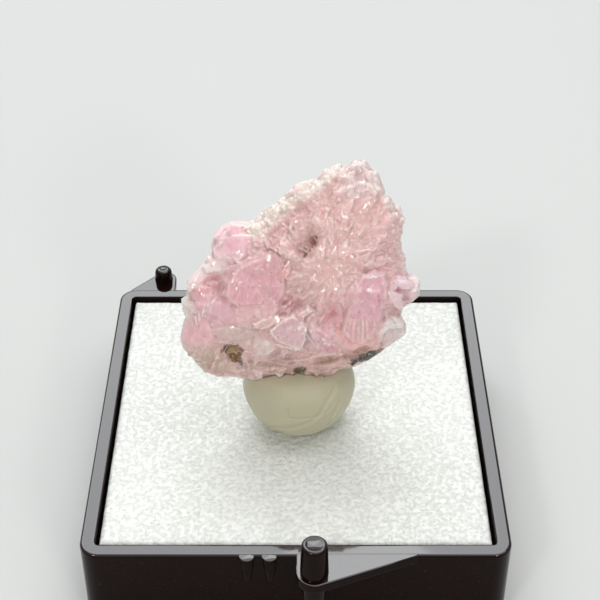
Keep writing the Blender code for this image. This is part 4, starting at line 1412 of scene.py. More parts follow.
@dataclass
class Specimen:
    """Calcite crystals grown on their matrix, as one closed skin."""

    lean: float = 23.0
    place: Triple = (0.4, 1.3, 25.3)
    face_cells: int = 280
    seed: int = 41
    fine_seed: int = 44
    # The spray's blades: how far apart, how much wider than high their field is, where it ends.
    spray_count: int = 150
    spray_spacing: float = 0.92
    spray_widening: float = 1.25
    spray_edge: float = 0.90
    spray_stray: float = 28.0
    spray_lift: float = 16.0
    spray_roll: float = 40.0
    spray_sink: float = 0.35
    spray_lengths: Pair = (2.5, 3.7)
    spray_widths: Pair = (1.2, 1.8)
    # The crust's grains, the rim's crystals and the back's lumps: how many, where and how big.
    crust_count: int = 22
    crust_angles: Pair = (72.0, 134.0)
    crust_insets: Pair = (0.9, 1.9)
    crust_sizes: Pair = (1.7, 2.5)
    crust_sink: float = 0.2
    rim_count: int = 34
    rim_inset: float = 1.25
    rim_heights: Pair = (-0.9, 0.7)
    rim_sizes: tuple[Pair, Pair, Pair] = ((1.5, 2.1), (1.2, 1.7), (2.2, 2.8))
    back_count: int = 16
    back_spacing: float = 0.2
    back_sizes: Pair = (3.0, 4.6)
    contact_line: float = -6.4
    contact_half_width: float = 8.4
    # Share of its relief that each kind of place keeps, and where those places are.
    relief: float = 0.36
    crust_relief: float = 0.8
    smooth_relief: float = 0.75
    lobe_relief: float = 0.9
    rim_relief: float = 0.6
    foot_relief: float = 0.62
    crisp_relief: float = 0.95
    lobe_start: float = 8.6
    lobe_span: Pair = (-5.4, 1.8)
    rim_start: Pair = (0.86, 0.95)
    foot_start: Pair = (-7.0, -6.0)
    held_line: float = -7.6
    held_half_width: float = 6.5
    tip_line: float = 10.9
    level_reach: int = 4
    swell_cut: float = 0.3
    wave_cut: float = 0.5
    # How plates and glassy zones grow, and how what stands past the rim is drawn in.
    pole_gap: float = 0.12
    glass_rise: float = 0.35
    firmness: float = 1.5
    ledge: float = 1.0
    sight_drop: float = 0.27
    rim_margin: float = 0.12
    slack: float = 0.22
    top_slack: float = 0.5
    slack_line: float = 11.2
    top_cut: float = 0.02
    # How much a shade of one changes red, green and blue, and how wide the white edges are, which are partly
    # painted highlight.
    shade_gain: Triple = (0.045, 0.066, 0.062)
    clear_edge: float = 0.11
    fine_edge: float = 0.06
    finish: CalciteFinish = CalciteFinish()
    matrix: Matrix = field(default_factory=Matrix)

    # The left tooth, the brown point, the tip of the top and the splint at the right.
    spikes = (
        Crystal((-10.6, -1.8, 0.3), 186, 8, 20, (1.5, 1.2, 2.0), Form.TOOTH),
        Crystal((-6.3, -5.9, 2.5), 95, 62, 0, (1.5, 1.4, 1.8), Form.RHOMB),
        Crystal((6.1, 11.2, 0.0), 84, 4, 15, (0.9, 0.8, 2.1), Form.TOOTH),
        Crystal((9.5, 2.6, 0.4), 18, 12, 0, (1.0, 0.8, 2.4), Form.BLADE),
    )
    # Where broad crystals leave no room for the spray's blades: u, v, half width, half height.
    taken = (
        (-6.4, 4.2, 1.9, 1.8), (-4.3, 4.2, 0.9, 0.8), (-3.6, -0.5, 2.0, 3.5), (-4.9, -1.9, 1.4, 1.2),
        (-6.5, -0.4, 1.0, 1.4), (-9.6, -4.3, 1.5, 1.3), (-8.6, -6.6, 1.2, 1.0), (6.5, -1.5, 1.75, 3.0),
        (5.0, -2.4, 0.9, 1.6), (9.0, -4.4, 1.4, 1.1),
    )
    rows = (
        BladeRow("left_streaks", 8, (-7.9, -0.5, 3.75), (-0.35, -0.42, -0.13), 218, 10, 10, (0.24, 0.2, 1.1)),
        BladeRow("glints", 8, (0.9, -4.3, 4.0), (0.38, 0.0, -0.06), -58, 2, 14, (0.18, 0.26, 1.8)),
        BladeRow("column_flutes", 8, (4.3, -3.6, 4.2), (0.43, -0.04, -0.05), -100, 3, 18, (0.2, 0.26, 2.4)),
        BladeRow("hanging_blades", 4, (2.1, -0.3, 3.9), (0.62, -0.1, -0.05), -100, 10, 24, (0.36, 0.36, 2.2)),
    )

    slabs = (
        Slab("shoulder_knob", ((-8.3, 3.9), (-7.7, 4.7), (-6.5, 5.35), (-4.5, 5.4), (-4.3, 4.3),
            (-4.5, 3.5), (-5.2, 2.9), (-6.1, 2.5), (-7.1, 2.4), (-8.1, 3.0)), 3.0, (0.05, -0.05), 66, 0.04,
            0.8, rise=0.2),
        Slab("knob_step", ((-8.3, 4.2), (-8.1, 5.2), (-7.4, 5.9), (-6.5, 6.3), (-4.7, 6.0),
            (-4.4, 5.3), (-6.5, 5.0), (-7.6, 4.3)), 2.5, (-0.02, -0.3), 66, 0.04, 0.8, rise=0.2),
        Slab("left_ridge", ((-10.9, 0.1), (-10.6, 0.7), (-10.0, 1.5), (-9.1, 2.3), (-8.7, 1.3),
            (-9.9, 0.2), (-10.7, -0.4)), 2.2, (0.10, -0.25), 64, 0.10, 0.5),
        Slab("left_ridge_upper", ((-9.3, 2.1), (-8.4, 2.8), (-7.2, 2.9), (-6.1, 2.4), (-6.3, 2.0),
            (-7.7, 1.8), (-8.8, 1.2)), 2.8, (0.12, -0.22), 64, 0.10, 0.5),
        Slab("left_plate", ((-7.1, 0.1), (-6.8, 1.3), (-5.8, 2.4), (-4.7, 3.0), (-3.2, 3.6),
            (-2.5, 3.9), (-1.6, 3.3), (-1.4, 2.4), (-1.4, 1.2), (-1.6, 0.1), (-2.1, -0.9), (-2.9, -1.5),
            (-4.4, -1.5), (-5.9, -1.3), (-6.8, -0.6)), 4.45, (0.05, -0.2), 60, 0.05, 0.5),
        Slab("low_plate", ((-5.8, -1.2), (-4.4, -0.9), (-3.5, -0.9), (-2.3, -1.2), (-2.1, -1.5),
            (-2.6, -2.2), (-3.5, -2.5), (-4.8, -2.7), (-5.9, -2.4), (-6.2, -1.6)), 4.62, (0.08, 0.10), 62,
            0.05, 0.3),
        Slab("edge_blade", ((-4.4, -2.9), (-3.5, -2.4), (-2.2, -2.2), (-2.0, -2.5), (-2.8, -3.1),
            (-3.6, -3.4), (-4.3, -3.2)), 4.9, (0.06, -0.25), 68, 0.05, 0.9, paint(222, 186, 182)),
        Slab("clear_shard", ((-2.8, -3.5), (-1.5, -2.4), (-0.7, -2.2), (0.3, -2.6), (0.5, -3.3),
            (0.5, -4.4), (0.1, -5.5), (-0.7, -5.2), (-1.5, -5.1), (-2.6, -4.1)), 5.05, (0.02, -0.02), 74,
            0.05, 0.9),
        Slab("shard_splint", ((-0.3, -2.1), (0.7, -1.4), (1.0, -1.7), (0.1, -2.5)), 5.1, (0.1, 0.1),
            68, 0.05, 0.8, paint(226, 196, 198)),
        Slab("under_shard", ((-3.1, -5.7), (-1.6, -5.4), (0.3, -5.9), (0.9, -5.7), (1.4, -6.2),
            (0.6, -6.7), (-1.3, -6.8), (-2.8, -6.3)), 3.9, (0.0, 0.35), 56, 0.15, 0.1),
        Slab("right_column", ((4.7, -1.4), (5.0, -0.1), (5.4, 0.9), (6.1, 1.7), (7.2, 1.9), (8.0, 1.6),
            (8.2, 0.7), (8.2, -0.7), (7.9, -2.2), (7.5, -3.3), (7.2, -4.4), (6.2, -5.1), (5.0, -4.9),
            (4.2, -3.9), (4.3, -2.6)), 4.3, (-0.2, 0.02), 66, 0.06, 0.5),
        Slab("lobe_upper", ((8.4, 1.0), (9.8, 0.9), (10.5, 1.4), (11.1, 1.1), (11.5, 0.6), (11.4, 0.0),
            (9.8, -0.4), (8.5, -0.2)), 1.7, (-0.14, -0.25), 64, 0.03, 1.0),
        Slab("lobe_middle", ((8.5, -0.2), (9.8, -0.4), (11.4, -0.1), (11.3, -0.8), (10.7, -1.4),
            (9.9, -1.3), (8.7, -1.2)), 1.6, (-0.12, 0.20), 64, 0.03, 1.0),
        Slab("lobe_lower", ((8.8, -1.3), (9.9, -1.4), (10.7, -1.5), (9.9, -2.2), (9.0, -2.4)), 1.3,
            (-0.1, -0.1), 64, 0.03, 1.0),
        Slab("low_right_lobe", ((7.5, -3.8), (8.1, -3.3), (9.1, -3.2), (9.6, -3.2), (10.3, -4.3),
            (9.8, -4.8), (9.0, -5.4), (7.7, -5.7), (7.3, -5.2)), 1.8, (-0.25, 0.05), 60, 0.18, 0.3),
        Slab("foot_band_left", ((-1.3, -7.3), (1.2, -6.2), (3.6, -6.1), (4.7, -6.8), (1.9, -7.6),
            (-0.1, -8.0)), 3.0, (0.0, 0.5), 56, 0.2, 0.5),
        Slab("foot_band_right", ((3.2, -6.1), (5.0, -5.8), (6.6, -5.3), (7.6, -5.3), (7.9, -5.8),
            (6.6, -6.5), (4.5, -6.9)), 2.9, (-0.05, 0.5), 56, 0.2, 0.5),
        Slab("top_cluster", ((4.6, 10.8), (4.9, 11.3), (5.7, 11.6), (6.5, 11.2), (7.2, 10.6),
            (7.7, 9.6), (6.3, 9.7), (5.1, 9.7), (4.7, 10.1)), 1.2, (-0.05, -0.2), 66, 0.25, 0.4,
            smooth=False),
        Slab("top_ledge_left", ((4.8, 9.8), (5.7, 9.7), (6.3, 10.1), (6.5, 9.5), (5.7, 9.3),
            (4.9, 9.5)), 2.0, (0.0, -0.5), 70, 0.05, 1.0),
        Slab("top_ledge_right", ((6.2, 10.1), (6.8, 9.8), (7.4, 9.2), (7.1, 9.0), (6.4, 9.5)), 1.9,
            (-0.1, -0.5), 70, 0.05, 1.0),
        Slab("right_step", ((8.6, 7.6), (9.5, 7.6), (9.8, 6.8), (9.5, 6.3), (8.8, 6.4)), 0.9,
            (-0.1, -0.1), 66, 0.08, 0.6),
    )

    def covered(self, u: float, v: float) -> bool:
        """Whether a broad crystal already covers this place on the face."""
        return any(((u - at_u) / wide) ** 2 + ((v - at_v) / high) ** 2 < 1.0
                   for at_u, at_v, wide, high in self.taken)

    def spray(self, rng: random.Random) -> list[Crystal]:
        """Blades over the face, laid out on a golden spiral and radiating from the spray's root.

        Args:
            rng: Source of chance.

        Returns:
            The crystals, in order.
        """
        found = []
        for index in range(3, self.spray_count):
            reach = self.spray_spacing * math.sqrt(index)
            angle = math.radians(GOLDEN_ANGLE) * index
            u = SPRAY_ROOT[0] + self.spray_widening * reach * math.cos(angle)
            v = SPRAY_ROOT[1] + reach * math.sin(angle)
            share = math.hypot(u, v) / float(self.matrix.rim_radius(math.atan2(v, u)))
            if share > self.spray_edge or v < self.matrix.foot_start + 0.3 or self.covered(u, v):
                continue
            heading = math.degrees(math.atan2(v - SPRAY_ROOT[1], u - SPRAY_ROOT[0])) \
                + rng.uniform(-self.spray_stray, self.spray_stray)
            length, width = rng.uniform(*self.spray_lengths), rng.uniform(*self.spray_widths)
            place = (u, v, float(self.matrix.face_height(u, v)) - self.spray_sink)
            rise = self.matrix.face_slope(u, v, heading) + rng.uniform(0, self.spray_lift)
            found.append(Crystal(place, heading, rise, rng.uniform(-self.spray_roll, self.spray_roll),
                                 (width, 0.8 * width, length), Form.BLADE))
        return found

    def crust(self, rng: random.Random) -> list[Crystal]:
        """Pale grains along the upper left rim.

        Args:
            rng: Source of chance.

        Returns:
            The crystals, in order.
        """
        found = []
        low, high = self.crust_angles
        for index in range(self.crust_count):
            angle = math.radians(low + (high - low) * index / self.crust_count)
            reach = float(self.matrix.rim_radius(angle)) - rng.uniform(*self.crust_insets)
            u, v = reach * math.cos(angle), reach * math.sin(angle)
            side = rng.uniform(*self.crust_sizes)
            place = (u, v, float(self.matrix.face_height(u, v)) - self.crust_sink)
            found.append(Crystal(place, rng.uniform(0, 360), rng.uniform(0, 90), 0,
                                 (side, 0.85 * side, side), Form.PEBBLE, frost=0.5))
        return found

    def rim(self, rng: random.Random) -> list[Crystal]:
        """Small crystals that stand outwards round the rim, off the stretch held in the putty.

        Args:
            rng: Source of chance.

        Returns:
            The crystals, in order.
        """
        found = []
        for index in range(self.rim_count):
            angle = math.tau * index / self.rim_count + rng.uniform(-0.04, 0.04)
            reach = float(self.matrix.rim_radius(angle)) - self.rim_inset
            u, v = reach * math.cos(angle), reach * math.sin(angle)
            if v < self.contact_line and abs(u) < self.contact_half_width:
                continue
            place = (u, v, rng.uniform(*self.rim_heights))
            found.append(Crystal(
                place, math.degrees(angle) + rng.uniform(-25, 25), rng.uniform(-14, 20),
                rng.uniform(0, 90), tuple(rng.uniform(*sizes) for sizes in self.rim_sizes),
                rng.choice((Form.BLADE, Form.RHOMB, Form.BUTTON))))
        return found

    def lumps(self, rng: random.Random) -> list[Crystal]:
        """Broad broken lumps over the back.

        Args:
            rng: Source of chance.

        Returns:
            The crystals, in order.
        """
        found = []
        for index in range(self.back_count):
            reach = self.back_spacing * math.sqrt(index + 0.6)
            angle = math.radians(GOLDEN_ANGLE) * index
            radius = float(self.matrix.rim_radius(angle))
            u, v = reach * radius * math.cos(angle), reach * radius * math.sin(angle)
            if v < self.contact_line + 2.0:
                continue
            side = rng.uniform(*self.back_sizes)
            place = (u, v, 0.55 - min(float(self.matrix.back_height(u, v)), 3.4))
            found.append(Crystal(place, rng.uniform(0, 360), rng.uniform(-90, -60), rng.uniform(0, 60),
                                 (side, 0.9 * side, 0.55 * side), Form.PEBBLE))
        return found

    def main_crystals(self) -> list[Crystal]:
        """The single crystals that the solid model has too, in the same order and places."""
        rng = random.Random(self.seed)
        return [*self.spikes, *self.spray(rng), *self.crust(rng), *self.rim(rng), *self.lumps(rng)]

    def on_face(self, growth: Growth) -> Array:
        """Samples of the face proper, clear of the foot."""
        return (growth.ways[:, 2] > 0.45) & (growth.points[:, 1] > -5.2)

    def on_spray(self, growth: Growth) -> Array:
        """Samples of the face with room for blades: neither on smooth crystals nor in the crust."""
        return self.on_face(growth) & ~growth.smooth & (in_crust(growth.points, self.matrix) < 0.4)

    def on_fan(self, growth: Growth) -> Array:
        """Samples near the spray's root, where its long needles show."""
        reach = np.hypot(growth.points[:, 0] - SPRAY_ROOT[0], growth.points[:, 1] - SPRAY_ROOT[1])
        return self.on_spray(growth) & (reach > 0.9) & (reach < 5.6)

    def on_crust(self, growth: Growth) -> Array:
        """Samples of the pale crust."""
        return (in_crust(growth.points, self.matrix) > 0.25) & (growth.ways[:, 2] > -0.4)

    def off_putty(self, growth: Growth) -> Array:
        """Samples clear of the stretch that the putty holds."""
        return (growth.points[:, 1] > self.contact_line) \
            | (np.abs(growth.points[:, 0]) > self.contact_half_width)

    def on_rim(self, growth: Growth) -> Array:
        """Samples round the rim, off the crust and the putty."""
        return (np.abs(growth.ways[:, 2]) < 0.8) & self.off_putty(growth) \
            & (in_crust(growth.points, self.matrix) < 0.4)

    def on_plates(self, growth: Growth) -> Array:
        """Samples on the big smooth crystals."""
        return growth.smooth & (growth.ways[:, 2] > 0.6)

    def on_broad_plates(self, growth: Growth) -> Array:
        """Samples on the broad crystals of the left and the right."""
        return self.on_plates(growth) & (growth.points[:, 1] > -2.6) & (np.abs(growth.points[:, 0]) > 1.5)

    def on_shard(self, growth: Growth) -> Array:
        """Samples on and round the clear shard.

        Args:
            growth: The surface so far.

        Returns:
            A mask.
        """
        u, v = growth.points[:, :2].T
        reach = np.hypot(u + 0.9, v + 3.9)
        return (growth.ways[:, 2] > 0.5) & (reach < 2.0) & (reach > 0.8)

    def on_lobes(self, growth: Growth) -> Array:
        """Samples of the ragged lobes along the right edge."""
        u, v = growth.points[:, :2].T
        return (growth.ways[:, 2] > 0.0) & (u > 8.1) & (v < 1.6) & (v > -5.2)

    def on_foot(self, growth: Growth) -> Array:
        """Samples of the smooth band along the bottom."""
        return (growth.points[:, 1] < -5.8) & (growth.ways[:, 2] > -0.2)

    def on_back(self, growth: Growth) -> Array:
        """Samples of the back."""
        return growth.ways[:, 2] < -0.3

    def sprinkles(self) -> tuple[Sprinkle, ...]:
        """The fields of finer crystals, from the broadest to the finest.

        Returns:
            The fields, in the order in which they grow.
        """
        broken = (Form.RHOMB, Form.PEBBLE, Form.BLADE)
        return (
            Sprinkle("foot_grains", 240, 0.42, self.on_foot, (0.3, 1.0), 0.7, (0.9, 1.8),
                     (Form.PEBBLE, Form.RHOMB), (0, 90), 0.22, 180, edge=0.5, soft=0.03, shade=1.6),
            Sprinkle("back_blocks", 200, 0.8, self.on_back, (0.9, 2.2), 0.8, (0.9, 1.3),
                     (Form.RHOMB, Form.PEBBLE), (0, 90), 0.5, 180, frost=0.4, soft=0.05),
            Sprinkle("spray_blocks", 300, 0.6, self.on_spray, (0.6, 1.2), 0.6, (0.9, 1.9), broken,
                     (0, 30), 0.22, 60, soft=0.05),
            Sprinkle("rim_steps", 150, 0.55, self.on_rim, (0.5, 1.0), 0.8, (0.9, 1.4),
                     (Form.RHOMB, Form.PEBBLE), (0, 90), 0.30, 90, soft=0.04),
            Sprinkle("crust_grains", 620, 0.26, self.on_crust, (0.28, 0.62), 0.9, (0.9, 1.3),
                     (Form.PEBBLE, Form.RHOMB), (0, 90), 0.1, 180, frost=0.6, edge=0.8, soft=0.03, shade=2.0),
            Sprinkle("fan_needles", 190, 0.26, self.on_fan, (0.12, 0.24), 0.8, (4.0, 9.0), (Form.BLADE,),
                     (0, 6), 0.02, 12, edge=0.5, soft=0.01),
            Sprinkle("spray_grains", 520, 0.34, self.on_spray, (0.2, 0.45), 0.8, (0.9, 2.2), broken,
                     (0, 40), 0.08, 90, edge=0.8),
            Sprinkle("cleavage_steps", 44, 0.7, self.on_broad_plates, (0.3, 0.9), 0.3, (1.4, 4.0),
                     (Form.RHOMB, Form.BLADE), (-3, 4), 0.09, 180, smooth=True, edge=0.35, soft=0.01,
                     sits=True, roll=10),
            Sprinkle("lobe_flakes", 30, 0.45, self.on_lobes, (0.5, 1.1), 0.2, (1.6, 3.0),
                     (Form.SHEET, Form.RHOMB, Form.BLADE), (-4, 14), 0.06, 35, edge=1.0, soft=0.01, sits=True,
                     roll=18),
            Sprinkle("shard_chips", 12, 0.5, self.on_shard, (0.3, 0.8), 0.3, (0.9, 1.6),
                     (Form.SHEET, Form.RHOMB), (0, 14), 0.08, 180, smooth=True, edge=0.9,
                     soft=0.01, sits=True, roll=15),
            Sprinkle("plate_sparks", 120, 0.36, self.on_plates, (0.06, 0.2), 0.8, (1.0, 3.2),
                     (Form.RHOMB, Form.BLADE), (0, 60), 0.02, 180, edge=1.0, sits=True),
            Sprinkle("back_grains", 380, 0.4, self.on_back, (0.35, 0.8), 0.9, (0.9, 1.3),
                     (Form.PEBBLE, Form.RHOMB), (0, 90), 0.14, 180, frost=0.6, soft=0.04),
        )

    def grow(self) -> tuple[Growth, Array]:
        """Sample the lump, grow every crystal on it and add the finest relief.

        Returns:
            The grown surface, and how deep each sample lies below its neighbourhood, from 0 to 1, which
            darkens hollows as painted shade.
        """
        matrix, cells = self.matrix, self.face_cells
        face_angle, face_out = disc_samples(cells)
        back_angle, back_out = disc_samples(cells // 2)
        seam, end = matrix.equator, float(matrix.even[-1])
        length = np.concatenate([face_out * seam, end - back_out * (end - seam - self.pole_gap)])
        growth = Growth(*matrix.surface(np.concatenate([face_angle, back_angle]), length))
        glass = matrix.glass(growth.points[:, 0], growth.points[:, 1]) * (growth.ways[:, 2] > 0.2)
        growth.height += self.glass_rise * glass
        growth.smooth |= glass > 0.5
        rng = np.random.default_rng(self.fine_seed)
        for crystal in self.main_crystals():
            growth.add(crystal, Tag(None, crystal.frost, False, crystal.place[:2], float(rng.normal()), 0.15),
                       0.05)
        LOG.info("plates: %s", ", ".join(slab.name for slab in self.slabs))
        for slab in self.slabs:
            middle = slab.middle()
            span = np.linalg.norm(np.array(slab.outline) - middle[:2], axis=1).max()
            growth.grow(middle, np.eye(3), np.ones(3), slab.faces(matrix.share),
                        Tag(slab.colour, 0.6, slab.smooth, tuple(middle[:2]), 0.0, slab.edge),
                        slab.soft, math.hypot(span + self.ledge, slab.deep), firm=self.firmness)
        LOG.info("rows: %s", ", ".join(row.name for row in self.rows))
        for crystal in self.laid([blade for row in self.rows for blade in row.crystals()], growth):
            growth.add(crystal, Tag(None, 0.0, False, crystal.place[:2], 0.5 * float(rng.normal()), 0.8,
                                    sits=True, crisp=True), 0.02)
        for sprinkle in self.sprinkles():
            sprinkle.scatter(growth, rng)
        self.calm(growth)
        self.striate(growth)
        skin = growth.skin()
        growth.height += 0.035 * layered_noise(skin, 0.9, 5, 3) + 0.012 * layered_noise(skin, 0.2, 9, 2) \
            + np.where(growth.smooth, 0.055 * layered_noise(skin, 1.6, 15, 2), 0.0)
        return growth, self.hollows(growth)

    def grids(self) -> tuple[tuple[slice, int], tuple[slice, int]]:
        """The samples and the cells of the face's grid, then of the back's, which is half as fine."""
        split = (self.face_cells + 1) ** 2
        return (slice(0, split), self.face_cells), (slice(split, None), self.face_cells // 2)

    @staticmethod
    def laid(crystals: Sequence[Crystal], growth: Growth) -> list[Crystal]:
        """The same crystals, each laid along the surface: its ends rest on the samples under them.

        Args:
            crystals: The crystals.
            growth: The surface so far.

        Returns:
            The crystals in their new places.
        """
        skin = growth.skin()[growth.ways[:, 2] > 0.3]
        found = []
        for crystal in crystals:
            run = 0.8 * crystal.size[2]
            heading = math.radians(crystal.heading)
            step = np.array((math.cos(heading), math.sin(heading))) * run / 2
            ends = [np.array(crystal.place[:2]) + way * step for way in (-1.0, 1.0)]
            behind, ahead = (skin[((skin[:, :2] - end) ** 2).sum(axis=1).argmin(), 2] for end in ends)
            found.append(replace(crystal, place=(*crystal.place[:2], float(behind + ahead) / 2),
                                 rise=math.degrees(math.atan2(ahead - behind, run))))
        return found

    def relief_kept(self, growth: Growth) -> Array:
        """The share of its relief that each sample keeps: more where edges and ends stand out.

        Args:
            growth: The surface so far.

        Returns:
            Shares from 0 to 1.
        """
        u, v = growth.points[:, :2].T
        crust = in_crust(growth.points, self.matrix)
        keep = np.where(growth.smooth, self.smooth_relief,
                        self.relief + (self.crust_relief - self.relief) * crust)
        keep = np.where(growth.brought("crisp", False), self.crisp_relief, keep)
        lobes = (u > self.lobe_start) & (v > self.lobe_span[0]) & (v < self.lobe_span[1])
        ragged = np.where(lobes, self.lobe_relief, self.rim_relief) \
            * blend_step(*self.rim_start, self.matrix.share(u, v))
        ragged = np.maximum(ragged, self.foot_relief * (1.0 - blend_step(*self.foot_start, v)))
        held = (v < self.held_line) & (np.abs(u) < self.held_half_width)
        keep = np.where(held, self.relief, np.maximum(keep, ragged))
        return np.where(v > self.tip_line, self.crisp_relief, keep)

    def calm(self, growth: Growth) -> None:
        """Sink the crystals into each other: relief about the local average is cut to a share of itself.

        Args:
            growth: The surface so far.
        """
        keep = self.relief_kept(growth)
        for part, cells in self.grids():
            share = box_blur(keep[part], cells, 1)
            level = box_blur(growth.height[part], cells, self.level_reach, 2)
            wide = box_blur(level, cells, cells // 20, 2)
            inner = 1.0 - blend_step(0.7, 0.9, self.matrix.share(*growth.points[part, :2].T))
            growth.height[part] = (wide * (1.0 - self.swell_cut * inner)
                                   + (level - wide) * (1.0 - self.wave_cut * inner)
                                   + (growth.height[part] - level) * share)

    @staticmethod
    def striate(growth: Growth) -> None:
        """Growth lines: each crystal's faces step in and out with its own across coordinate.

        Args:
            growth: The surface so far.
        """
        spread = growth.brought("shade", 0.0)
        wave = np.sin(growth.local[:, 0] * (11.0 + 2.0 * spread) + 7.0 * spread)
        depth = np.where(growth.smooth, 0.003, 0.014)
        growth.height += np.where(growth.owner >= 0, depth * wave, 0.0)

    def slid(self, skin: Array) -> Array:
        """Places slid along the line of sight over the face to the plane of the rim."""
        return skin[:, :2] - np.stack([np.zeros(len(skin)), self.sight_drop * skin[:, 2]], axis=1)

    def draw_in(self, skin: Array) -> Array:
        """Bring back what stands out past the rim, as seen along the line of sight over the face.

        A place is slid along that line to the plane of the rim. Where it falls outside, its distance
        from the middle becomes rim + slack tanh(excess / slack), and it is slid back.

        Args:
            skin: Points of the grown surface.

        Returns:
            The same points, inside the rim.
        """
        seen = self.slid(skin)
        reach = np.hypot(*seen.T)
        rim = self.matrix.rim_radius(np.arctan2(seen[:, 1], seen[:, 0])) - self.rim_margin
        excess = np.maximum(reach - rim, 0.0)
        slack = np.where(skin[:, 1] > self.slack_line, self.top_slack, self.slack)
        kept = np.where(excess > 0.0, (rim + slack * np.tanh(excess / slack)) / np.maximum(reach, 1e-6), 1.0)
        drawn = skin.copy()
        drawn[:, :2] += seen * (kept - 1.0)[:, None]
        return drawn

    def hollows(self, growth: Growth) -> Array:
        """How far each sample lies below the average about it, near and wide, on each grid; the material
        darkens hollows by it, as painted shade.

        Args:
            growth: The surface so far.

        Returns:
            Depths from 0 to 1.
        """
        height = self.matrix.dipped(growth.height, *growth.points[:, :2].T, growth.ways[:, 2] > 0.0)
        found = []
        for part, cells in self.grids():
            near = box_blur(height[part], cells, cells // 50, 2)
            wide = box_blur(height[part], cells, cells // 18, 2)
            found.append(0.75 * np.clip((near - height[part]) / 0.5, 0.0, 1.0)
                         + 0.6 * np.clip((wide - height[part]) / 1.3, 0.0, 1.0))
        return np.clip(np.concatenate(found), 0.0, 1.0)

    def tints(self, growth: Growth) -> tuple[Array, Array]:
        """The tint and the frost of every sample.

        A sample takes the tint of a place between its own and the middle of its crystal, so that small
        crystals are each of one tint, then its crystal's own shade lightens or darkens it.

        Args:
            growth: The grown surface.

        Returns:
            Colours, one row each, and frost from 0 to 1.
        """
        tags, points = growth.crystals, growth.points
        facing = growth.ways[:, 2]
        spot = growth.skin()[:, :2]
        owned = (growth.owner >= 0)[:, None]
        spot = np.where(owned, 0.4 * spot + 0.6 * growth.brought("place", (0.0, 0.0)), spot)
        spot = spot + 0.25 * wander(points, 1.3, 21)
        colour = Colours.of_face(spot[:, 0], spot[:, 1])
        plain = Colours.ground
        own = np.array([tag.colour or plain for tag in tags] + [plain])[growth.owner]
        painted = np.array([tag.colour is not None for tag in tags] + [False])[growth.owner][:, None]
        colour = laid_over(colour, own, 0.75 * painted)
        behind = (1.0 - blend_step(-0.5, 0.05, facing))[:, None]
        colour = laid_over(colour, Colours.back, behind)
        crust = (in_crust(points, self.matrix) * (facing > -0.8))[:, None]
        colour = laid_over(colour, Colours.crust, crust)
        shade = growth.brought("shade", 0.0)[:, None]
        colour = colour * np.clip(1.0 + shade * np.array(self.shade_gain), 0.75, 1.2)
        # Painted rim light: the face is whitened towards its rim, where light from behind glows through the
        # edge.
        painted_rim_light = blend_step(0.9, 1.0, self.matrix.share(*points[:, :2].T))[:, None] * (1.0 - behind)
        colour = laid_over(colour, Colours.painted_rim_light, 0.45 * painted_rim_light)
        foot = 1.0 - blend_step(-7.0, -5.6, points[:, 1])
        depth = np.where(growth.smooth, 0.05, 0.02) + 0.2 * foot + 0.16 * crust[:, 0]
        mottle = depth * layered_noise(points, 0.6, 71)
        colour = np.clip(colour * (1.0 + mottle[:, None]), 0.0, 1.0)
        seen = self.slid(self.draw_in(growth.skin())) + 0.16 * wander(points, 0.45, 51)
        for mark in Colours.marks:
            LOG.debug("mark: %s", mark.name)
            share = blend_step(0.15, 0.6, mark.share(*seen.T))[:, None] * mark.strength
            colour = laid_over(colour, mark.colour, share * (1.0 - behind))
        return colour, growth.brought("frost", 0.3)

    def stand(self, points: Array) -> Array:
        """Lean points of the specimen's own frame back and move them to their place.

        Args:
            points: Points in the specimen's own frame.

        Returns:
            The points in the model's frame.
        """
        turn = math.radians(90.0 - self.lean)
        u, v, w = points.T
        return np.stack([u, v * math.cos(turn) - w * math.sin(turn), v * math.sin(turn) + w * math.cos(turn)],
                        axis=1) + np.array(self.place)

    def seam_faces(self) -> Array:
        """Triangles between the edge of the face's grid and that of the back's, two to one.

        Returns:
            Three point numbers a triangle.
        """
        cells = self.face_cells
        front = edge_loop(cells)
        back = edge_loop(cells // 2) + (cells + 1) ** 2
        first, middle, last = front[::2], front[1::2], np.roll(front[::2], -1)
        after = np.roll(back, -1)
        return np.concatenate([np.stack(corners, axis=1) for corners in (
            (back, middle, first), (back, after, middle), (after, last, middle))])

    def build(self, effects: Effects) -> bpy.types.Object:
        """Make the specimen's skin and dress it.

        Args:
            effects: The shared node groups.

        Returns:
            The finished piece.
        """
        growth, hollow = self.grow()
        points = self.stand(self.draw_in(growth.skin()))
        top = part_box("calcite_specimen")[1].z / MM - self.top_cut
        points[:, 2] = np.minimum(points[:, 2], top)
        cells = self.face_cells
        piece = make_piece("calcite_crystals", points, [
            grid_faces(cells + 1, cells + 1),
            grid_faces(cells // 2 + 1, cells // 2 + 1, (cells + 1) ** 2)[:, ::-1],
            self.seam_faces()])
        colour, frost = self.tints(growth)
        smooth, crisp = growth.smooth, growth.brought("crisp", False)
        width = np.where(smooth | crisp, self.clear_edge, self.fine_edge)
        edge = growth.brought("edge", 0.0) * np.exp(-(growth.crest / width) ** 2)
        # The hollow attribute is painted shade, stronger in the crust's and the foot's gaps; the crest
        # attribute whitens edges, partly as painted highlight.
        foot = 1.0 - blend_step(*self.foot_start, growth.points[:, 1])
        gap_shade_gain = 1.0 + 0.9 * in_crust(growth.points, self.matrix) + 0.6 * foot
        scale = np.where(smooth[:, None], (3.4, 2.2, 3.4), (5.0, 5.0, 0.9))
        for name, values in (
                ("tint", np.concatenate([colour, np.ones((len(colour), 1))], axis=1)),
                ("crest", edge * (1.0 - hollow)), ("hollow", hollow * gap_shade_gain), ("frost", frost),
                ("facet", np.where(smooth, 0.55, 0.7)),
                ("growth", growth.local * scale + 13.0 * growth.brought("shade", 0.0)[:, None])):
            give_attribute(piece, name, values)
        piece.data.materials.append(self.finish.material(effects))
        seat(piece, "calcite_specimen")
        return piece


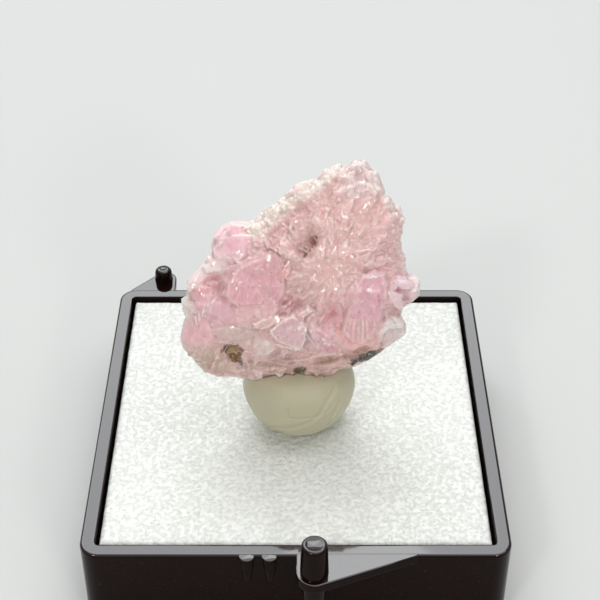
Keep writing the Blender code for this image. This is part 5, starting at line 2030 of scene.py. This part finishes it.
def underside(points: Array, step: float, low: Pair, size: int) -> Array:
    """Height of the lowest point over each cell of a level grid.

    Args:
        points: Points of a piece, in millimetres.
        step: Side of a cell.
        low: Corner of the grid.
        size: Cells along each side.

    Returns:
        Square of heights, far above where nothing stands over a cell.
    """
    lowest = np.full((size, size), 1e3)
    cell = np.floor((points[:, :2] - np.array(low)) / step).astype(int)
    inside = ((cell >= 0) & (cell < size)).all(axis=1)
    np.minimum.at(lowest, (cell[inside, 0], cell[inside, 1]), points[inside, 2])
    for axis in (0, 1):
        beside = np.minimum(np.roll(lowest, 1, axis), np.roll(lowest, -1, axis))
        lowest = np.where(lowest > 999.0, beside, lowest)
    return lowest


@dataclass
class PuttyBall:
    """The ball of putty: turned, kneaded out of round, creased, and pressed in under the specimen."""

    middle: Pair = (0.3, -0.7)
    bottom: float = 9.72
    columns: int = 260
    rows: int = 150
    smoothing: int = 9
    swell: float = 0.22
    dimple: float = 0.03
    press: float = 0.08
    roof_step: float = 0.2
    roof_cells: int = 80
    finish: PuttyFinish = PuttyFinish()

    profile = np.array((
        (0.0, 0.0), (2.6, 0.0), (3.5, 0.35), (4.45, 1.2), (5.15, 2.4), (5.6, 3.8), (5.62, 5.0), (5.3, 6.4),
        (4.5, 7.5), (2.6, 8.2), (0.0, 8.3)))
    # Creases as lines of (angle from the front, height): width and depth follow each.
    creases = (
        (((44.6, 6.87), (30.2, 6.1), (21.1, 4.94), (13.3, 4.27), (6.5, 3.93), (-1.8, 3.54), (-10.5, 3.08),
          (-19.7, 2.79), (-30.0, 2.45)), 0.20, 0.16),
        (((34.8, 5.2), (27.5, 4.92), (19.4, 4.55), (6.5, 4.66), (-2.6, 4.7), (-11.0, 4.72), (-12.1, 5.22),
          (-13.1, 5.64)), 0.15, 0.09),
        (((44.8, 5.19), (40.3, 4.72), (37.7, 4.21), (34.0, 3.48), (33.2, 2.72)), 0.18, 0.10),
        (((150.0, 6.2), (165.0, 4.6), (190.0, 3.6), (215.0, 3.3)), 0.25, 0.14),
        (((100.0, 5.6), (112.0, 3.9), (118.0, 2.2)), 0.22, 0.12),
        (((250.0, 6.0), (262.0, 4.4), (280.0, 3.4), (300.0, 2.8)), 0.22, 0.12),
    )

    def crease_depth(self, angle: Array, height: Array) -> Array:
        """How far each place is pressed in: a narrow valley on each line, a low lip to one side of it.

        Args:
            angle: Angles about the ball, from the front.
            height: Heights over its foot.

        Returns:
            Depths.
        """
        spread = math.tau * 5.5 / 360.0
        total = np.zeros(len(angle))
        for line, width, depth in self.creases:
            knots = np.array(line) * (spread, 1.0)
            nearest = np.full(len(angle), 1e3)
            lip = np.full(len(angle), 1e3)
            for start, end in zip(knots[:-1], knots[1:]):
                run = end - start
                du = (np.degrees(angle) - start[0] / spread + 180.0) % 360.0 - 180.0
                offset = np.stack([du * spread, height - start[1]], axis=1)
                share = np.clip(offset @ run / (run @ run), 0.0, 1.0)
                gap = offset - share[:, None] * run
                nearest = np.minimum(nearest, np.hypot(*gap.T))
                up = gap - np.array((-run[1], run[0])) / np.linalg.norm(run) * 1.6 * width
                lip = np.minimum(lip, np.hypot(*up.T))
            total += depth * np.exp(-(nearest / width) ** 2) - 0.7 * depth * np.exp(-(lip / width) ** 2)
        return total

    def build(self, effects: Effects, specimen: bpy.types.Object) -> bpy.types.Object:
        """Make the ball and dress it.

        Args:
            effects: The shared node groups.
            specimen: The piece that presses into its top.

        Returns:
            The finished piece.
        """
        length = np.concatenate([[0.0], np.cumsum(np.hypot(*np.diff(self.profile, axis=0).T))])
        even = np.linspace(0.0, length[-1], self.rows)
        kernel = np.hanning(2 * self.smoothing + 1)
        kernel = kernel / kernel.sum()
        radius, height = (
            np.convolve(np.pad(np.interp(even, length, side), self.smoothing, mode="reflect",
                               reflect_type="odd"), kernel, mode="valid") for side in self.profile.T)
        height = height - height[0]
        turn = math.tau * np.arange(self.columns) / self.columns
        around, out = np.tile(turn, self.rows), np.repeat(np.maximum(radius, 0.02), self.columns)
        up = np.repeat(height, self.columns)
        place = np.stack([out * np.sin(around), -out * np.cos(around), up], axis=1)
        swell = self.swell * layered_noise(place, 4.5, 3, 2) \
            + self.dimple * layered_noise(place, 1.1, 8, 2) - self.crease_depth(around, up)
        out = np.maximum(out + swell * blend_step(0.0, 3.0, out), 0.02)
        rings = np.stack([out * np.sin(around), -out * np.cos(around), up], axis=1)
        poles = np.array(((0.0, 0.0, 0.0), (0.0, 0.0, height[-1])))
        place = np.concatenate([poles[:1], rings, poles[1:]]) + np.array((*self.middle, self.bottom))
        stone = np.empty(len(specimen.data.vertices) * 3, np.float32)
        specimen.data.vertices.foreach_get("co", stone)
        step, size = self.roof_step, self.roof_cells
        low = (self.middle[0] - step * size / 2, self.middle[1] - step * size / 2)
        roof = underside(stone.reshape(-1, 3) / MM, step, low, size)
        cell = np.clip(((place[:, :2] - low) / step).astype(int), 0, size - 1)
        lid = np.maximum(roof[cell[:, 0], cell[:, 1]] + self.press, self.bottom + 3.0)
        place[:, 2] = np.minimum(place[:, 2], lid)
        piece = make_piece("putty_ball_pressed", place, lathe_blocks(self.rows, self.columns))
        piece.data.materials.append(self.finish.material(effects))
        seat(piece, "putty_ball")
        return piece


@dataclass
class FoamPad:
    """The white foam pad: a sheet of fused beads, rounded over at its edges."""

    cells: int = 300
    bead: float = 0.8
    relief: float = 0.05
    unevenness: float = 0.012
    swell: float = 0.05
    grain: float = 0.008
    joint: float = 0.09
    edge: float = 0.5
    seed: int = 7
    finish: FoamFinish = FoamFinish()

    def beads(self, x: Array, y: Array) -> tuple[Array, Array, Array]:
        """Distances to the nearest and next nearest bead, and the nearest bead's own random number.

        Beads stand one in each square of a grid, each moved at random within it, so the nearest two
        are among the nine squares about a sample.

        Args:
            x: Places to the right.
            y: Places to the back.

        Returns:
            The two distances, and the number from -1 to 1.
        """
        size = 96
        rng = np.random.default_rng(self.seed)
        jitter = rng.uniform(0.0, 1.0, (size, size, 2))
        own = rng.uniform(-1.0, 1.0, (size, size))
        column, row = np.floor(x / self.bead).astype(int), np.floor(y / self.bead).astype(int)
        first, second = np.full(len(x), 1e3), np.full(len(x), 1e3)
        number = np.zeros(len(x))
        for across in (-1, 0, 1):
            for up in (-1, 0, 1):
                a, b = (column + across) % size, (row + up) % size
                spot = jitter[a, b]
                gap = np.hypot((column + across + spot[:, 0]) * self.bead - x,
                               (row + up + spot[:, 1]) * self.bead - y)
                nearer = gap < first
                second = np.where(nearer, first, np.minimum(second, gap))
                number = np.where(nearer, own[a, b], number)
                first = np.minimum(first, gap)
        return first, second, number

    def build(self, effects: Effects) -> bpy.types.Object:
        """Make the pad and dress it.

        Args:
            effects: The shared node groups.

        Returns:
            The finished piece.
        """
        low, high = (np.array(corner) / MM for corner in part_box("foam_pad"))
        side = np.linspace(0.0, 1.0, self.cells + 1)
        a, b = (grid.ravel() for grid in np.meshgrid(side, side, indexing="ij"))
        x, y = low[0] + (high[0] - low[0]) * a, low[1] + (high[1] - low[1]) * b
        first, second, number = self.beads(x, y)
        place = np.stack([x, y, np.zeros(len(x))], axis=1)
        dome = 1.0 - np.clip(first / (0.75 * self.bead), 0.0, 1.0) ** 2
        depth = self.relief * (1.0 - dome) + self.unevenness * (number + 1.0) + self.swell * (
            1.0 + layered_noise(place, 4.0, 12, 2)) + self.grain * layered_noise(place, 0.25, 17, 2)
        inset = np.minimum.reduce([x - low[0], high[0] - x, y - low[1], high[1] - y])
        over = np.maximum(self.edge - inset, 0.0)
        round_off = self.edge - np.sqrt(np.maximum(self.edge**2 - over**2, 0.0))
        place[:, 2] = high[2] - np.maximum(depth, 0.0) - round_off
        loop = edge_loop(self.cells)
        foot = place[loop] * (1.0, 1.0, 0.0) + (0.0, 0.0, low[2])
        under = np.arange(len(loop)) + len(place)
        walls = np.stack([under, np.roll(under, -1), np.roll(loop, -1), loop], axis=1)
        piece = make_piece("foam_pad_beads", np.concatenate([place, foot]), [
            grid_faces(self.cells + 1, self.cells + 1), walls, under[None, ::-1]])
        joint = np.exp(-(second - first) / self.joint)
        give_attribute(piece, "joint", np.concatenate([joint, np.zeros(len(foot))]))
        piece.data.materials.append(self.finish.material(effects))
        seat(piece, "foam_pad")
        return piece


@dataclass
class MeshParts:
    """Closed shells gathered into one mesh."""

    points: list = field(default_factory=list)
    blocks: list = field(default_factory=list)
    worn: list = field(default_factory=list)
    count: int = 0

    def add(self, points: Array, blocks: Sequence[Array], worn: Array | float = 0.0) -> None:
        """Add one shell: its points, its faces numbered from nought, and how matt each point is.

        Args:
            points: Its points.
            blocks: Its faces, numbered from nought.
            worn: How matt each point is.
        """
        self.points.append(points)
        self.blocks += [block + self.count for block in blocks]
        self.worn.append(np.full(len(points), 0.0) + worn)
        self.count += len(points)


def rounded_square(half: float, corner: float, steps: int = 10, guard: float = 0.08) -> Array:
    """Outline of a square with round corners, seen from above and turning anticlockwise.

    Each corner is a quarter turn about its own centre, with a guard point on the straight just before
    and just after it, so that shading stays flat along the sides.

    Args:
        half: Half of its side.
        corner: Radius of its corners.
        steps: Steps round each corner.
        guard: Distance of a guard point.

    Returns:
        Its points in order.
    """
    corner = max(corner, 0.1)
    turn = np.radians(np.linspace(0.0, 90.0, steps + 1))
    quarter = np.stack([np.cos(turn), np.sin(turn)], axis=1) * corner
    quarter = np.concatenate([[(corner, -guard)], quarter, [(-guard, corner)]]) + (half - corner)
    turns = [np.array(((math.cos(t), math.sin(t)), (-math.sin(t), math.cos(t))))
             for t in np.radians((0.0, 90.0, 180.0, 270.0))]
    return np.concatenate([quarter @ way for way in turns])


def inset_loop(outline: Array, distance: float) -> Array:
    """The outline moved inwards: each point goes along the mean normal of its two edges.

    Args:
        outline: Points of a closed outline.
        distance: How far it moves.

    Returns:
        The moved outline.
    """
    ahead, behind = np.roll(outline, -1, axis=0) - outline, outline - np.roll(outline, 1, axis=0)
    way = ahead / np.linalg.norm(ahead, axis=1)[:, None] + behind / np.linalg.norm(behind, axis=1)[:, None]
    way /= np.linalg.norm(way, axis=1)[:, None]
    return outline + np.stack([-way[:, 1], way[:, 0]], axis=1) * distance


@dataclass
class BoxBase:
    """The black tray: walls and floor, a flange and peg before and behind, and two ribs in front."""

    side: float = 40.2
    height: float = 10.0
    wall: float = 1.4
    floor: float = 1.2
    corner: float = 1.8
    flange: float = 1.0
    margin: float = 0.35
    front_peg: Pair = (1.7, -22.0)
    front_radii: Pair = (1.35, 1.2)
    front_rise: float = 3.7
    front_end: float = 11.3
    boss_drop: float = 2.2
    rear_peg: Pair = (-15.4, 22.1)
    rear_radii: Pair = (1.1, 0.95)
    rear_rise: float = 1.5
    rear_end: float = -19.0
    ribs: Pair = (-4.5, -2.4)
    rib_radii: Pair = (0.35, 0.75)
    rib_length: float = 3.2
    finish: GlossFinish = GlossFinish()

    def tray(self, parts: MeshParts) -> None:
        """A section of (inset, height) carried round the rounded square, closed below and on its floor.

        Args:
            parts: The shells so far.
        """
        wall, top = self.wall, self.height
        section = (
            (0.30, 0.0), (0.14, 0.04), (0.04, 0.14), (0.0, 0.30), (0.0, 0.40), (0.0, top - 0.34),
            (0.0, top - 0.24), (0.03, top - 0.11), (0.11, top - 0.03), (0.24, top), (0.30, top),
            (wall - 0.22, top), (wall - 0.16, top), (wall - 0.05, top - 0.04), (wall, top - 0.14),
            (wall, top - 0.22), (wall, self.floor + 0.4), (wall + 0.02, self.floor + 0.3),
            (wall + 0.12, self.floor + 0.06), (wall + 0.3, self.floor), (wall + 0.4, self.floor))
        loops = [np.concatenate([outline, np.full((len(outline), 1), height)], axis=1)
                 for inset, height in section
                 for outline in (rounded_square(self.side / 2 - inset, self.corner - inset),)]
        parts.add(np.concatenate(loops), stack_blocks(len(loops), len(loops[0])))

    def tongue(self, parts: MeshParts, peg: Pair, radius: float, end: float,
               wall_face: float) -> None:
        """A flange: an outline round about its peg and tapering to the wall, with rounded edges.

        Args:
            parts: The shells so far.
            peg: Place of its peg.
            radius: Radius of the peg's foot.
            end: Where its taper meets the wall.
            wall_face: The wall's outer face.
        """
        reach = radius + self.margin
        outward = math.copysign(1.0, peg[1])
        along = math.copysign(1.0, end - peg[0])
        inner = wall_face - outward * self.wall / 2
        turn = np.radians(np.arange(75.0, 180.1, 7.5))
        arc = np.stack([peg[0] + along * reach * np.cos(turn), peg[1] + outward * reach * np.sin(turn)],
                       axis=1)
        outline = np.concatenate([[(end, inner), (end, wall_face)], arc, [(peg[0] - along * reach, inner)]])
        after = np.roll(outline, -1, axis=0)
        if (outline[:, 0] * after[:, 1] - after[:, 0] * outline[:, 1]).sum() < 0.0:
            outline = outline[::-1]
        low, top = self.height - self.flange, self.height - 0.01
        section = ((0.10, low), (0.03, low + 0.03), (0.0, low + 0.10), (0.0, low + 0.14), (0.0, top - 0.2),
                   (0.0, top - 0.15), (0.04, top - 0.05), (0.14, top), (0.18, top))
        loops = [np.concatenate([inset_loop(outline, inset), np.full((len(outline), 1), height)], axis=1)
                 for inset, height in section]
        parts.add(np.concatenate(loops), stack_blocks(len(loops), len(outline)))

    def post(self, parts: MeshParts, section: Sequence[Pair], at: Pair,
             worn_from: float = 1e3) -> None:
        """A turned post: a section of (radius, height) from bottom to top, turned about its middle.

        Args:
            parts: The shells so far.
            section: Radius and height of each ring.
            at: Its place.
            worn_from: Height above which it is matt.
        """
        columns = 48
        turn = math.tau * np.arange(columns) / columns
        rings = [np.stack([radius * np.cos(turn), radius * np.sin(turn), np.full(columns, height)], axis=1)
                 for radius, height in section]
        ends = [np.array([[0.0, 0.0, section[0][1]]]), np.array([[0.0, 0.0, section[-1][1]]])]
        points = np.concatenate([ends[0], *rings, ends[1]]) + (*at, 0.0)
        parts.add(points, lathe_blocks(len(section), columns), (points[:, 2] > worn_from).astype(float))

    def peg(self, parts: MeshParts, at: Pair, radii: Pair, rise: float,
            edge: float) -> None:
        """A peg that narrows upwards, rounded over at its top, with a shallow dish in the end.

        Args:
            parts: The shells so far.
            at: Its place.
            radii: Radius at its foot and at its top.
            rise: How far it stands over the rim.
            edge: Radius of its rounded edge.
        """
        low, top = self.height - self.flange + 0.2, self.height + rise
        turn = np.radians((0.0, 22.5, 45.0, 67.5, 90.0))
        over = [(radii[1] - edge + edge * math.cos(t), top - edge + edge * math.sin(t)) for t in turn]
        dish = radii[1] - edge
        section = [(radii[0], low), (radii[0] - 0.01, low + 0.1), (radii[1] + 0.01, top - edge - 0.08), *over,
                   (dish * 0.94, top), (dish * 0.86, top - 0.03), (dish * 0.80, top - 0.05),
                   (0.02, top - 0.05)]
        self.post(parts, section, at, top - edge * 0.35)

    def build(self, effects: Effects) -> bpy.types.Object:
        """Make the base and dress it.

        Args:
            effects: The shared node groups.

        Returns:
            The finished piece.
        """
        parts = MeshParts()
        half, low = self.side / 2, self.height - self.flange
        self.tray(parts)
        self.tongue(parts, self.front_peg, self.front_radii[0], self.front_end, -half)
        self.tongue(parts, self.rear_peg, self.rear_radii[0], self.rear_end, half)
        self.peg(parts, self.front_peg, self.front_radii, self.front_rise, 0.3)
        self.peg(parts, self.rear_peg, self.rear_radii, self.rear_rise, 0.5)
        drop = low - self.boss_drop
        self.post(parts, ((0.9, drop), (1.05, drop + 0.04), (1.1, drop + 0.15), (1.12, drop + 0.25),
                          (1.3, low + 0.3)), self.front_peg)
        for place in self.ribs:
            top = self.height - 0.02
            self.post(parts, ((self.rib_radii[0], top - self.rib_length), (self.rib_radii[1], top - 0.12),
                              (self.rib_radii[1] - 0.03, top - 0.03), (self.rib_radii[1] - 0.12, top)),
                      (place, -half + 0.1))
        piece = make_piece("box_base_tray", np.concatenate(parts.points), parts.blocks, 38.0)
        give_attribute(piece, "worn", np.concatenate(parts.worn))
        give_attribute(piece, "polish", np.array([face.normal.z > 0.7 for face in piece.data.polygons]))
        piece.data.materials.append(self.finish.material(effects))
        seat(piece, "box_base")
        return piece


@dataclass
class Studio:
    """A pale floor, soft lights and the camera."""

    camera_at: Triple = (0.4, -105.123, 106.285)
    camera_tilt: float = 52.0
    lens: float = 82.38
    floor_colour: Triple = (0.62, 0.63, 0.62)

    # Name, place, size, power and colour.
    lamps = (
        ("overhead", (60.0, 60.0, 420.0), (460.0, 360.0), 0.97, (1.0, 1.0, 0.99)),
        ("behind", (-110.0, 500.0, 560.0), (620.0, 420.0), 3.1, (0.94, 0.97, 1.0)),
        ("front_fill", (-160.0, -420.0, 260.0), (420.0, 300.0), 0.22, (1.0, 0.98, 0.97)),
        ("left_spark", (-190.0, -330.0, 330.0), (64.0, 46.0), 0.34, (1.0, 0.99, 0.97)),
        ("right_spark", (170.0, -360.0, 210.0), (70.0, 55.0), 0.31, (1.0, 0.99, 0.97)),
    )

    def softbox(self, name: str, at: Triple, size: Pair, power: float, colour: Triple) -> None:
        """A rectangular light that looks at the specimen. Its place and size are in millimetres.

        Args:
            name: Its name.
            at: Its place.
            size: Its width and height.
            power: Its power in watts.
            colour: Its colour.
        """
        light = bpy.data.lights.new(name, "AREA")
        light.shape = "RECTANGLE"
        light.size, light.size_y = size[0] * MM, size[1] * MM
        light.energy = power
        light.color = colour
        lamp = bpy.data.objects.new(name, light)
        bpy.context.scene.collection.objects.link(lamp)
        lamp.location = [axis * MM for axis in at]
        towards = np.array((0.0, 0.0, 22.0)) - np.array(at)
        lamp.rotation_euler = (math.atan2(math.hypot(towards[0], towards[1]), -towards[2]), 0.0,
                               math.atan2(towards[0], -towards[1]) + math.pi)

    def floor(self) -> None:
        """A wide pale sheet under the box, with the faintest mottle."""
        half = 1500.0
        points = np.array(((-half, -half, 0.0), (half, -half, 0.0), (half, half, 0.0), (-half, half, 0.0)))
        sheet = make_piece("floor", points, [np.array(((0, 1, 2, 3),))])
        material, wiring, shader = new_material("pale_floor")
        share = wiring.ramp(wiring.noise(6.0, 2.0), 0.3, 0.7)
        dull = tuple(level * 0.985 for level in self.floor_colour)
        wiring.set(shader, {"Base Color": wiring.mix(share, opaque(self.floor_colour), opaque(dull)),
                            "Roughness": 0.8})
        sheet.data.materials.append(material)

    def build(self) -> None:
        """Set the camera, the lights, the surroundings and the floor."""
        lens = bpy.data.cameras.new("camera")
        lens.lens, lens.sensor_width = self.lens, 36.0
        lens.clip_start, lens.clip_end = 0.005, 20.0
        camera = bpy.data.objects.new("camera", lens)
        bpy.context.scene.collection.objects.link(camera)
        camera.location = [axis * MM for axis in self.camera_at]
        camera.rotation_euler = (math.radians(self.camera_tilt), 0.0, 0.0)
        bpy.context.scene.camera = camera
        for lamp in self.lamps:
            self.softbox(*lamp)
        world = bpy.data.worlds.new("surroundings")
        world.use_nodes = True
        Wiring(world.node_tree).set(world.node_tree.nodes["Background"], {
            "Color": (0.86, 0.85, 0.84, 1.0), "Strength": 0.36})
        bpy.context.scene.world = world
        bpy.context.scene.view_settings.view_transform = "Standard"
        self.floor()


def main() -> None:
    """Build every piece in order, from the stage to the stone."""
    logging.basicConfig(level=logging.INFO, format="%(message)s")
    Studio().build()
    effects = Effects()
    BoxBase().build(effects)
    FoamPad().build(effects)
    specimen = Specimen().build(effects)
    PuttyBall().build(effects, specimen)


if __name__ == "__main__":
    main()
